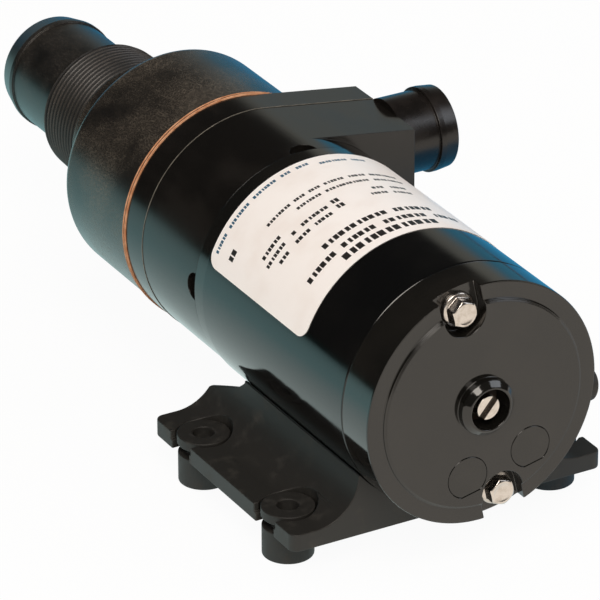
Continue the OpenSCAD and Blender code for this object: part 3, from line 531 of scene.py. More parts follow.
def skin(
    mesh: bmesh.types.BMesh,
    rows: Sequence[Sequence[bmesh.types.BMVert]],
    round_rows: bool = True,
    round_points: bool = True,
) -> None:
    """Join each row of points to the next one by faces of four.

    Args:
        mesh: The mesh that takes the faces.
        rows: The rows, all of one length.
        round_rows: Whether the last row is joined to the first one.
        round_points: Whether the last point of a row is joined to its first one.
    """
    count = len(rows[0])
    for i in range(len(rows) if round_rows else len(rows) - 1):
        left, right = rows[i], rows[(i + 1) % len(rows)]
        for k in range(count if round_points else count - 1):
            mesh.faces.new((left[k], right[k], right[(k + 1) % count], left[(k + 1) % count]))


def turned(outline: Sequence[Point], place: Matrix, steps: int = ROUND_STEPS) -> bmesh.types.BMesh:
    """Turn a closed outline about an axis.

    Args:
        outline: Points of radius and height in millimetres.
        place: Matrix from the turned piece, in metres, to the object.
        steps: Columns round the axis.

    Returns:
        The closed mesh.
    """
    mesh = bmesh.new()
    columns = []
    for i in range(steps):
        angle = 2 * math.pi * i / steps
        cos, sin = math.cos(angle), math.sin(angle)
        columns.append([
            mesh.verts.new(place @ Vector((r * cos * MM, r * sin * MM, z * MM)))
            for r, z in outline
        ])
    skin(mesh, columns)
    return mesh


def along_motor(y: float) -> Matrix:
    """Give the place of a piece turned about the motor axis, from y in millimetres."""
    turn = Matrix.Rotation(math.radians(-90), 4, "X")
    return Matrix.Translation(Vector((0, y, AXIS_Z)) * MM) @ turn


@dataclass
class HoseTail:
    """Hose tail at the inlet's end: a plain neck, a bead and a tapered lip.

    Attributes:
        name: Its name.
        node: The solid that it stands for.
        finish, slot: Its finish, and the name of a material slot, which is not used.
        start: Where it leaves the thread or the block, in millimetres.
        turn: The way from z to its own axis, as an angle in degrees and the axis turned about.
        neck_r, bead_r, end_r, bore_r: Radii of the neck, the bead, the end and the bore.
        neck_len, bead_len, taper_len: Lengths along the axis.
        shoulder_round, land_round, lip_round: Radii of the rounded edges.
    """

    name: str = "hose_tail_moulding"
    node: str = "hose_tail"
    finish: Finish = TAIL_PLASTIC
    slot: str = "filled_plastic"
    start: Place = (0.0, 183.308, AXIS_Z)
    turn: tuple[float, str] = (-90.0, "X")
    neck_r: float = 19.4
    bead_r: float = 20.0
    end_r: float = 18.2
    bore_r: float = 16.5
    neck_len: float = 31.3
    bead_len: float = 2.0
    taper_len: float = 7.7
    shoulder_round: float = 0.28
    land_round: float = 1.5
    lip_round: float = 0.75

    def build(self) -> bpy.types.Object:
        """Turn the hose tail.

        Returns:
            The piece.
        """
        end = self.neck_len + self.bead_len + self.taper_len
        taper_z = self.neck_len + self.bead_len
        corners = [
            (self.bore_r, 0.0, 0.0),
            (self.neck_r, 0.0, 0.0),
            (self.neck_r, self.neck_len, self.shoulder_round),
            (self.bead_r, self.neck_len, self.shoulder_round),
            (self.bead_r, taper_z, self.land_round),
            (self.end_r, end, self.lip_round),
            (self.bore_r, end, self.lip_round),
        ]
        angle, about = self.turn
        place = Matrix.Translation(Vector(self.start) * MM) @ Matrix.Rotation(
            math.radians(angle), 4, about
        )
        mesh = turned(fillet(corners), place)
        return new_piece(self.name, mesh, self.finish, [self.node])


@dataclass
class OutletSpigot(HoseTail):
    """Spigot of the outlet, one moulding with the discharge block that it grows out of.

    It starts a little inside the block and is a hair wider than the ring at its root, so that
    no seam shows.
    """

    name: str = "outlet_spigot_moulding"
    node: str = "outlet_spigot"
    finish: Finish = SPIGOT_PLASTIC
    slot: str = "body_plastic"
    start: Place = (45.45, 73.2, 79.0)
    turn: tuple[float, str] = (90.0, "Y")
    neck_r: float = 13.32
    bead_r: float = 14.3
    end_r: float = 13.7
    bore_r: float = 10.5
    neck_len: float = 13.25
    bead_len: float = 2.0
    taper_len: float = 4.9
    shoulder_round: float = 0.3
    land_round: float = 0.6
    lip_round: float = 0.5


@dataclass
class ThreadedNeck:
    """Hub of the inlet and its tapered pipe thread, cut as a true helix.

    Attributes:
        start_y: The housing's front face, along the motor axis.
        hub_r, bore_r: Radii of the hub and the bore.
        hub_len: Length of the hub.
        hub_round, bore_round: Radii of the hub's front edge and of the bore's.
        crest_r: Radius over the crests where the thread starts.
        pitch, turns, depth, taper: The thread's own sizes.
        crest_share, flank_share: Shares of half a pitch that are flat crest and sloping flank.
        slices: Steps of the profile in each turn.
        crest_from, crest_to: The steps of a turn that are its crest.
        run_in, run_out: Turns over which the groove comes to its depth at each end.
        shallow: Share of its depth that the groove has at the ends.
    """

    start_y: float = 137.6
    hub_r: float = 26.5
    bore_r: float = 16.5
    hub_len: float = 19.2
    hub_round: float = 0.8
    bore_round: float = 0.3
    crest_r: float = 24.3
    pitch: float = 2.209
    turns: int = 12
    depth: float = 1.4
    taper: float = 1 / 32
    crest_share: float = 0.12
    flank_share: float = 0.72
    slices: int = 12
    crest_from: int = 4
    crest_to: int = 7
    run_in: float = 0.6
    run_out: float = 0.3
    shallow: float = 0.25

    def radius(self, angle: float, z: float) -> float:
        """Give the thread's radius at an angle and a height from its start."""
        phase = (z / self.pitch - angle / (2 * math.pi)) % 1.0
        slope = (abs(phase - 0.5) * 2 - self.crest_share) / self.flank_share
        flank = max(0.0, min(1.0, slope))
        length = self.turns * self.pitch
        rise = min(
            1.0, z / (self.run_in * self.pitch), (length - z) / (self.run_out * self.pitch)
        )
        groove = self.depth * flank * max(self.shallow, rise)
        return self.crest_r - z * self.taper - groove

    def build(self) -> bpy.types.Object:
        """Build the hub and the thread as one closed mesh.

        Returns:
            The piece.
        """
        mesh = bmesh.new()
        place = along_motor(self.start_y)
        steps = ROUND_STEPS
        length = self.turns * self.pitch
        rows = range(-self.slices, self.turns * self.slices + 1)
        angles = [2 * math.pi * i / steps for i in range(steps)]

        def at(r: float, angle: float, z: float) -> bmesh.types.BMVert:
            """Add a vertex at a radius, an angle and a height in millimetres."""
            point = Vector((r * math.cos(angle), r * math.sin(angle), z)) * MM
            return mesh.verts.new(place @ point)

        columns = []
        for angle in angles:
            column = []
            for row in rows:
                z = (row / self.slices + angle / (2 * math.pi)) * self.pitch
                z = max(0.0, min(length, z))
                column.append(at(self.radius(angle, z), angle, self.hub_len + z))
            columns.append(column)
        count = len(rows)
        for i in range(steps):
            # The helix has risen by one turn where its last column meets the first one.
            shift = self.slices if i == steps - 1 else 0
            left, right = columns[i], columns[(i + 1) % steps]
            for k in range(count - 1 - shift):
                face = mesh.faces.new(
                    (left[k], right[k + shift], right[k + 1 + shift], left[k + 1])
                )
                # Crest faces take the paler finish, partly wear and partly a painted highlight;
                # the grooves take the dark finish of painted shade.
                crest = self.crest_from <= k % self.slices <= self.crest_to
                face.material_index = 1 if crest else 2
        shell = fillet([
            (self.hub_r, self.hub_len, self.hub_round),
            (self.hub_r, 0.0, 0.0),
            (self.bore_r, 0.0, 0.0),
            (self.bore_r, self.hub_len + length, self.bore_round),
        ])
        skin(
            mesh,
            [
                [column[0], *(at(r, angle, z) for r, z in shell), column[-1]]
                for angle, column in zip(angles, columns)
            ],
            round_points=False,
        )
        return new_piece(
            "threaded_neck_moulding", mesh, FILLED_PLASTIC, ["inlet_neck"],
            [THREAD_CREST_HIGHLIGHT, THREAD_ROOT],
        )


@dataclass
class PartingFlash:
    """Fine ridge where the halves of the pump body's mould met.

    Attributes:
        y: Place of the parting line along the motor axis.
        width, proud, sunk: Its width, and how far it stands out of the wall and into it.
        barrel_r: Radius of the body's barrel.
        block: Corners of the discharge block from under the barrel to its top, as x and the
            height over the motor axis. From the last one its top is a tangent to the barrel.
        mitre: Least share by which the ridge's height is divided at a corner.
    """

    y: float = 81.3
    width: float = 0.24
    proud: float = 0.05
    sunk: float = 0.1
    barrel_r: float = 40.05
    block: tuple[Point, ...] = ((39.35, 7.5), (45.65, 7.5), (45.65, 33.85))
    mitre: float = 0.5

    def path(self) -> list[Point]:
        """Give the line round the body, counter-clockwise from under the block."""
        first, last = self.block[0], self.block[-1]
        start = math.atan2(last[1], last[0]) + math.acos(self.barrel_r / math.hypot(*last))
        end = math.atan2(first[1], first[0]) + 2 * math.pi
        steps = ROUND_STEPS
        turns = [start + (end - start) * i / steps for i in range(steps)]
        arc = [(self.barrel_r * math.cos(turn), self.barrel_r * math.sin(turn)) for turn in turns]
        return [*self.block, *arc]

    def build(self) -> bpy.types.Object:
        """Sweep the ridge round the body.

        Returns:
            The piece.
        """
        mesh = bmesh.new()
        points = [Vector(point) for point in self.path()]
        loops = []
        for i, here in enumerate(points):
            along = (here - points[i - 1]).normalized()
            onward = (points[(i + 1) % len(points)] - here).normalized()
            tangent = (along + onward).normalized()
            out = Vector((tangent.y, -tangent.x)) / max(self.mitre, tangent.dot(along))
            low, high = here - out * self.sunk, here + out * self.proud
            section = (
                (low, -self.width / 2), (high, -self.width / 4),
                (high, self.width / 4), (low, self.width / 2),
            )
            loops.append([
                mesh.verts.new(Vector((p.x, self.y + dy, AXIS_Z + p.y)) * MM) for p, dy in section
            ])
        skin(mesh, loops)
        # The ridge's pale colour is a painted highlight.
        return new_piece("parting_line_flash", mesh, PARTING_FLASH_HIGHLIGHT)


@dataclass
class Feet:
    """Four rubber feet pushed into the base's slots.

    Attributes:
        spacing: Distances between the feet across and along.
        foot_r, neck_r, flange_r, hole_r: Radii of the foot, its neck, its flange and its hole.
        neck_z, flange_z, top_z: Heights of the neck's start, the flange and the top.
        soft, hem, crease: Radii of the rubber's edges, of its underside's and of its creases.
        columns: Columns round a foot.
        names: For each foot its side across and its end along.
    """

    spacing: Point = (94.8, 54.4)
    foot_r: float = 8.2
    neck_r: float = 5.5
    flange_r: float = 8.5
    hole_r: float = 3.5
    neck_z: float = 10.3
    flange_z: float = 13.4
    top_z: float = 16.7
    soft: float = 0.4
    hem: float = 0.5
    crease: float = 0.3
    columns: int = 72
    names: dict[str, tuple[int, int]] = field(default_factory=lambda: {
        "rear_left": (-1, -1), "rear_right": (1, -1),
        "front_left": (-1, 1), "front_right": (1, 1),
    })

    def outline(self) -> list[Point]:
        """Give the section of a foot, with soft edges."""
        return fillet([
            (self.hole_r, 0.0, self.hem),
            (self.foot_r, 0.0, self.hem),
            (self.foot_r, self.neck_z, self.soft),
            (self.neck_r, self.neck_z, self.crease),
            (self.neck_r, self.flange_z, self.crease),
            (self.flange_r, self.flange_z, self.soft),
            (self.flange_r, self.top_z, self.soft),
            (self.hole_r, self.top_z, self.soft),
        ])

    def build(self) -> list[bpy.types.Object]:
        """Turn the four feet.

        Returns:
            The pieces.
        """
        pieces = []
        for name, (side, end) in self.names.items():
            spot = Vector((side * self.spacing[0] / 2, end * self.spacing[1] / 2, 0)) * MM
            mesh = turned(self.outline(), Matrix.Translation(spot), self.columns)
            pieces.append(new_piece(
                f"rubber_foot_{name}", mesh, RUBBER, [f"foot_{name}"]
            ))
        return pieces


@dataclass
class ThroughBolts:
    """Two bolts the length of the motor, with flanged hexagon heads.

    Attributes:
        circle_r: Radius of the circle that they stand on.
        angles: Their places round the motor axis, in degrees.
        head_y: Where their flanges seat.
        flats: Width of the hexagon over its flats.
        corner_share: Radius of the hexagon's rounded corners, as a share of half that width.
        bevel_share, bevel_angle: Start of the bevel on top, as such a share, and its slope.
        flange_r, flange_t, hex_t: Sizes of the head.
        shank_r, shank_len, tip: Sizes of the shank and of the bevel at its tip.
        dish_r, dish_depth: The dish that heading leaves in the top.
        columns: Columns round a bolt.
    """

    circle_r: float = 33.0
    angles: tuple[float, float] = (102.4, 282.4)
    head_y: float = -59.4
    flats: float = 8.0
    corner_share: float = 1.135
    bevel_share: float = 0.93
    bevel_angle: float = 32.0
    flange_r: float = 5.6
    flange_t: float = 1.5
    hex_t: float = 3.8
    shank_r: float = 2.5
    shank_len: float = 115.5
    tip: float = 0.6
    dish_r: float = 3.1
    dish_depth: float = 0.4
    columns: int = 96

    def hexagon(self, angle: float) -> float:
        """Give the hexagon's radius at an angle, with its corners just rounded."""
        sixth = math.pi / 3
        off = (angle % sixth) - sixth / 2
        return self.flats / 2 * min(1 / math.cos(off), self.corner_share)

    def section(self, angle: float) -> list[Point]:
        """Give the bolt's outline at an angle round it.

        The small numbers in it ease each corner by a few tenths of a millimetre.

        Args:
            angle: Angle round the bolt's own axis.

        Returns:
            Points of radius and height over the flange's seat, from the top down.
        """
        top = self.flange_t + self.hex_t
        bevel_r = self.flats / 2 * self.bevel_share
        hexagon = self.hexagon(angle)
        side = top - max(0.0, hexagon - bevel_r) * math.tan(math.radians(self.bevel_angle))
        flange = self.flange_r
        return [
            (self.dish_r * 0.45, top - self.dish_depth),
            (self.dish_r * 0.8, top - self.dish_depth * 0.7),
            (self.dish_r, top - 0.08),
            (self.dish_r + 0.2, top),
            (bevel_r - 0.12, top),
            (bevel_r + 0.05, top - 0.04),
            (hexagon - 0.1, side + 0.06),
            (hexagon, side - 0.08),
            (hexagon, self.flange_t + 0.35),
            (hexagon + 0.12, self.flange_t + 0.12),
            (hexagon + 0.35, self.flange_t),
            (flange - 0.4, self.flange_t - 0.12),
            (flange - 0.1, self.flange_t - 0.3),
            (flange, self.flange_t - 0.55),
            (flange, 0.15),
            (flange - 0.15, 0.0),
            (self.shank_r, 0.0),
            (self.shank_r, -self.shank_len + self.tip),
            (self.shank_r - self.tip, -self.shank_len),
        ]

    def build(self) -> bpy.types.Object:
        """Build both bolts as one piece.

        Returns:
            The piece.
        """
        mesh = bmesh.new()
        for turn in (math.radians(angle) for angle in self.angles):
            spot = Vector((
                self.circle_r * math.cos(turn), self.head_y,
                AXIS_Z + self.circle_r * math.sin(turn),
            )) * MM
            place = (
                Matrix.Translation(spot)
                @ Matrix.Rotation(-turn, 4, "Y")
                @ Matrix.Rotation(math.radians(90), 4, "X")
            )
            columns = [
                [
                    mesh.verts.new(place @ (Vector((
                        r * math.cos(angle), r * math.sin(angle), z,
                    )) * MM))
                    for r, z in self.section(angle)
                ]
                for angle in (2 * math.pi * i / self.columns for i in range(self.columns))
            ]
            skin(mesh, columns, round_points=False)
            for end in (0, -1):
                mesh.faces.new([column[end] for column in columns])
        return new_piece(
            "flanged_hexagon_bolts", mesh, STAINLESS, ["through_bolts"]
        )


@dataclass
class SlotFloor:
    """Dull floor of the screwdriver slot in the shaft's rear end.

    Attributes:
        y: Place of the slot's floor along the motor axis.
        angle: The slot's turn about the axis, in degrees.
        length, width, layer: Sizes of the floor and of the dull layer on it.
    """

    y: float = -65.0
    angle: float = 50.0
    length: float = 7.6
    width: float = 2.16
    layer: float = 0.04

    def build(self) -> bpy.types.Object:
        """Lay the dull layer on the slot's floor.

        Returns:
            The piece.
        """
        mesh = bmesh.new()
        place = (
            Matrix.Translation(Vector((0, self.y - self.layer / 2, AXIS_Z)) * MM)
            @ Matrix.Rotation(math.radians(-self.angle), 4, "Y")
            @ Matrix.Diagonal((self.length * MM, self.layer * MM, self.width * MM, 1.0))
        )
        bmesh.ops.create_cube(mesh, size=1.0, matrix=place)
        return new_piece("shaft_slot_floor", mesh, DULL_STEEL, body=Body.ROTOR)


@dataclass(frozen=True)
class PrintRow:
    """A row of plain blocks on the label.

    Attributes:
        y: Lower edge of the row along the can.
        height: Height of its blocks.
        start: Angle where it starts, in degrees.
        groups: Length of each group of blocks in degrees.
        gap: Space between groups in degrees.
    """

    y: float
    height: float
    start: float
    groups: tuple[float, ...]
    gap: float = 2.0


@dataclass
class Label:
    """Film label round the motor can, with a print of plain blocks.

    Attributes:
        radius: Radius of the can under the film.
        film: Thickness of the film.
        ink: How far the ink stands on the film.
        from_angle, to_angle: Its edges round the can, in degrees.
        from_y, to_y: Its edges along the can.
        corner: Radius of its corners.
        corner_columns, middle_columns: Columns of the film in a corner and between the corners.
        block_pitch: Distance between printed blocks, as a share of their height.
        block_shares: Shares of that distance that are ink, in turn.
        block_column: Most degrees between the columns of a block.
        black, blue: Rows that are printed in each ink.
    """

    radius: float = 40.45
    film: float = 0.15
    ink: float = 0.02
    from_angle: float = 20.0
    to_angle: float = 162.0
    from_y: float = -21.9
    to_y: float = 39.1
    corner: float = 4.5
    corner_columns: int = 10
    middle_columns: int = 100
    block_pitch: float = 0.85
    block_shares: tuple[float, ...] = (0.78, 0.62, 0.84, 0.7, 0.5)
    block_column: float = 2.0
    black: tuple[PrintRow, ...] = (
        PrintRow(-18.4, 3.2, 74.0, (49.0,)),
        PrintRow(-13.0, 2.5, 58.0, (14.0, 22.0, 18.0, 18.0), 3.6),
        PrintRow(-7.4, 2.5, 68.0, (20.0, 34.0), 3.0),
        PrintRow(6.4, 1.5, 66.0, (10.0, 9.0), 3.0),
        PrintRow(10.4, 1.5, 66.0, (9.0, 6.0), 3.0),
        PrintRow(5.6, 2.3, 101.5, (4.4,)),
        PrintRow(9.2, 2.3, 101.5, (4.4,)),
        PrintRow(4.4, 1.7, 109.0, (10.0, 9.0), 2.4),
        PrintRow(8.6, 1.7, 108.0, (15.0, 2.6), 3.0),
        PrintRow(4.4, 1.7, 135.0, (6.5,)),
        PrintRow(8.6, 1.7, 133.0, (14.0,)),
        PrintRow(12.6, 1.7, 132.0, (13.0,)),
        PrintRow(16.6, 1.4, 62.0, (16.0, 22.0, 13.0), 2.4),
        PrintRow(20.8, 1.4, 62.0, (15.0, 9.0, 10.0, 6.0, 6.0, 14.0)),
        PrintRow(27.0, 2.5, 149.0, (6.5,)),
    )
    blue: tuple[PrintRow, ...] = (
        PrintRow(33.6, 1.3, 68.0, (8.0, 14.0)),
        PrintRow(35.6, 1.4, 96.0, (6.5, 5.0, 13.0, 14.0, 10.0), 2.8),
    )

    def point(self, angle: float, y: float, radius: float) -> Vector:
        """Give a point on the can from an angle in degrees, a place along it and a radius."""
        turn = math.radians(angle)
        return Vector((radius * math.cos(turn), y, AXIS_Z + radius * math.sin(turn))) * MM

    def inset(self, angle: float) -> float:
        """Give how far the round corners draw the edges in at an angle, in millimetres."""
        per_degree = math.radians(1) * self.radius
        edge = min(angle - self.from_angle, self.to_angle - angle) * per_degree
        short = max(0.0, self.corner - edge)
        return self.corner - math.sqrt(max(0.0, self.corner ** 2 - short ** 2))

    def stops(self) -> list[float]:
        """Give the angles of the film's columns, close together at its rounded ends."""
        whole = self.to_angle - self.from_angle
        span = math.degrees(self.corner / self.radius)
        quarter = math.pi / 2 / self.corner_columns
        rounds = [span * (1 - math.cos(quarter * i)) for i in range(self.corner_columns + 1)]
        step = (whole - 2 * span) / self.middle_columns
        middle = [span + step * i for i in range(1, self.middle_columns)]
        stops = rounds + middle + [whole - stop for stop in reversed(rounds)]
        return [self.from_angle + stop for stop in stops]

    def patch(
        self,
        mesh: bmesh.types.BMesh,
        columns: Sequence[tuple[float, float, float]],
        low: float,
        high: float,
    ) -> None:
        """Add a closed curved patch between two radii.

        Args:
            mesh: The mesh that takes it.
            columns: For each column its angle and its two ends along the can.
            low: Radius of its underside.
            high: Radius of its face.
        """
        loops = [
            [
                mesh.verts.new(self.point(angle, y0, low)),
                mesh.verts.new(self.point(angle, y0, high)),
                mesh.verts.new(self.point(angle, y1, high)),
                mesh.verts.new(self.point(angle, y1, low)),
            ]
            for angle, y0, y1 in columns
        ]
        skin(mesh, loops, round_rows=False)
        mesh.faces.new(loops[0])
        mesh.faces.new(loops[-1])

    def build(self) -> list[bpy.types.Object]:
        """Build the film and its print.

        Returns:
            The pieces.
        """
        film = bmesh.new()
        columns = [
            (angle, self.from_y + self.inset(angle), self.to_y - self.inset(angle))
            for angle in self.stops()
        ]
        self.patch(film, columns, self.radius, self.radius + self.film)
        pieces = [new_piece("label_film", film, LABEL_FILM, ["label"])]
        face = self.radius + self.film
        for name, finish, rows in (
            ("label_print_black", LABEL_INK, self.black),
            ("label_print_blue", LABEL_BLUE, self.blue),
        ):
            ink = bmesh.new()
            for row in rows:
                for start, end in self.blocks(row):
                    count = max(2, int((end - start) / self.block_column) + 2)
                    self.patch(
                        ink,
                        [
                            (start + (end - start) * i / (count - 1), row.y, row.y + row.height)
                            for i in range(count)
                        ],
                        face, face + self.ink,
                    )
            pieces.append(new_piece(name, ink, finish))
        return pieces

    def blocks(self, row: PrintRow) -> list[Point]:
        """Lay the blocks of a row round the can.

        Args:
            row: The row.

        Returns:
            For each block its two angles in degrees.
        """
        blocks = []
        start = row.start
        pitch = math.degrees(row.height * self.block_pitch / self.radius)
        for group in row.groups:
            count = max(1, round(group / pitch))
            step = group / count
            for i in range(count):
                share = self.block_shares[i % len(self.block_shares)]
                blocks.append((start + i * step, start + (i + share) * step))
            start += group + row.gap
        return blocks


# Points of a solid closer than this, in metres, are joined before its edges are rounded.
WELD_GAP = 2e-6
# Faces that bend by fewer degrees than this are one flat face.
FLAT_TO = 0.2
# Edges that bend by more degrees than this are rounded.
ROUND_FROM = 34


def round_edges(piece: bpy.types.Object, width: float) -> None:
    """Round the edges of a solid of the frame with modifiers.

    Args:
        piece: The solid's object.
        width: How far the rounding reaches, in millimetres.
    """
    weld = piece.modifiers.new("join_faces", "WELD")
    weld.merge_threshold = WELD_GAP
    flat = piece.modifiers.new("flat_faces", "DECIMATE")
    flat.decimate_type = "DISSOLVE"
    flat.angle_limit = math.radians(FLAT_TO)
    bevel = piece.modifiers.new("round_edges", "BEVEL")
    bevel.limit_method = "ANGLE"
    bevel.angle_limit = math.radians(ROUND_FROM)
    bevel.width = width * MM
    bevel.segments = 2
    bevel.use_clamp_overlap = False
    bevel.miter_outer = "MITER_ARC"
    bevel.face_strength_mode = "FSTR_ALL"
    weigh = piece.modifiers.new("even_normals", "WEIGHTED_NORMAL")
    weigh.use_face_influence = True


def dress_solids(finish: Finish, edge: Edge, *nodes: str) -> None:
    """Give solids of the frame their finish and their edges.

    Args:
        finish: Their finish.
        edge: How round their edges are.
        nodes: Their names.
    """
    for name in nodes:
        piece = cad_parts[name]
        piece.data.materials.clear()
        piece.data.materials.append(finish.material())
        if edge is not Edge.SHARP:
            round_edges(piece, edge.value)
        log.info("%s: %s", name, finish.name)


@dataclass
class Motor:
    """Motor can, its covers and all that turns or stands inside it.

    Attributes:
        bolts, slot_floor, label: Pieces that are finer than the solids.
    """

    bolts: ThroughBolts = field(default_factory=ThroughBolts)
    slot_floor: SlotFloor = field(default_factory=SlotFloor)
    label: Label = field(default_factory=Label)

    def dress(self) -> None:
        """Give the motor's solids their finishes."""
        dress_solids(ENAMELLED_STEEL, Edge.EASED, "motor_can")
        dress_solids(ENAMELLED_CASTING, Edge.EASED, "end_cover", "front_plate")
        dress_solids(COVER_PLASTIC, Edge.EASED, "access_plugs")
        dress_solids(RUBBER, Edge.MACHINED, "cable_grommet")
        dress_solids(RUBBER, Edge.SHARP, "cover_seal", "slinger")
        dress_solids(STAINLESS, Edge.MACHINED, "shaft")
        dress_solids(
            BEARING_STEEL, Edge.SHARP, "bearing_outer_race", "bearing_inner_race",
            "bearing_balls", "bearing_clip", "brush_spring_left", "brush_spring_right",
        )
        dress_solids(BRASS, Edge.SHARP, "bearing_cage", "brush_holder_left", "brush_holder_right")
        # The bush's dark brown is partly painted shade in the end cover's bore.
        dress_solids(OILED_BRONZE_IN_SHADE, Edge.SHARP, "rear_bush")
        dress_solids(FERRITE, Edge.SHARP, "magnet_left", "magnet_right")
        dress_solids(CORE_STEEL, Edge.SHARP, "armature_core")
        dress_solids(COPPER, Edge.SHARP, "windings", "commutator")
        dress_solids(BOARD, Edge.SHARP, "brush_plate")
        dress_solids(CARBON, Edge.SHARP, "brush_left", "brush_right")

    def build(self) -> None:
        """Build the motor's own pieces."""
        for piece in (self.bolts, self.slot_floor, self.label):
            piece.build()


@dataclass
class WetEnd:
    """Pump body, gaskets, impeller, cutter and inlet housing.

    Attributes:
        tail, neck, spigot, flash: Pieces that are finer than the solids.
    """

    tail: HoseTail = field(default_factory=HoseTail)
    neck: ThreadedNeck = field(default_factory=ThreadedNeck)
    spigot: OutletSpigot = field(default_factory=OutletSpigot)
    flash: PartingFlash = field(default_factory=PartingFlash)

    def dress(self) -> None:
        """Give the wet end's solids their finishes."""
        dress_solids(BODY_PLASTIC, Edge.CRISP, "pump_body")
        dress_solids(FILLED_PLASTIC, Edge.EASED, "inlet_housing")
        dress_solids(GASKET_FIBRE, Edge.SHARP, "housing_gasket", "body_gasket")
        dress_solids(DULL_STEEL, Edge.SHARP, "wear_plate")
        dress_solids(STAINLESS, Edge.SHARP, "seal_spring", "cutter_washer")
        dress_solids(
            STAINLESS, Edge.MACHINED, "housing_screws", "cutter", "cutter_nut", "impeller_key"
        )
        dress_solids(RUBBER, Edge.SHARP, "impeller", "shaft_seal")
        dress_solids(BRASS, Edge.SHARP, "impeller_insert")

    def build(self) -> None:
        """Build the wet end's own pieces."""
        for piece in (self.tail, self.neck, self.spigot, self.flash):
            piece.build()


@dataclass
class Base:
    """Saddle base with its screws and feet.

    Attributes:
        feet: The feet, rounder than the solids.
    """

    feet: Feet = field(default_factory=Feet)

    def dress(self) -> None:
        """Give the base's solids their finishes."""
        dress_solids(BASE_PLASTIC, Edge.MOULDED, "base")
        dress_solids(STAINLESS, Edge.MACHINED, "base_screws")
        dress_solids(STAINLESS, Edge.SHARP, "base_nuts")

    def build(self) -> None:
        """Build the feet."""
        self.feet.build()


@dataclass(frozen=True)
class Tint:
    """A colour that comes in over another one as a value runs on.

    Attributes:
        colour: The colour, as sRGB hex.
        start, end: Values where it starts to show and where it is full.
    """

    colour: str
    start: float
    end: float

    def over(self, tree: Tree, value: Socket, below: Any) -> Socket:
        """Lay the colour over another one.

        Args:
            tree: The node tree.
            value: The value that it comes in with.
            below: The colour under it, as a value or an output.

        Returns:
            The mixed colour.
        """
        share = add_node(
            tree, "ShaderNodeMapRange",
            {"Value": value, "From Min": self.start, "From Max": self.end},
            interpolation_type="SMOOTHSTEP",
        )
        return add_node(
            tree, "ShaderNodeMix",
            {0: share.outputs["Result"], 6: below, 7: linear(self.colour)}, data_type="RGBA",
        ).outputs[2]


@dataclass(frozen=True)
class Softbox:
    """A square lamp that points at the object.

    Attributes:
        name: The lamp's name.
        place: Where it hangs, in metres.
        size: Its side in metres.
        power: Its power in watts.
        colour: Its colour, as sRGB hex.
    """

    name: str
    place: Place
    size: float
    power: float
    colour: str

    def hang(self, target: Place) -> None:
        """Hang the lamp, pointed at a target in metres."""
        data = bpy.data.lights.new(self.name, "AREA")
        data.shape = "SQUARE"
        data.size = self.size
        data.energy = self.power
        data.color = linear(self.colour)[:3]
        lamp = bpy.data.objects.new(self.name, data)
        aim = Vector(target) - Vector(self.place)
        turn = aim.to_track_quat("-Z", "Y").to_matrix().to_4x4()
        lamp.matrix_world = Matrix.Translation(self.place) @ turn
        bpy.context.scene.collection.objects.link(lamp)


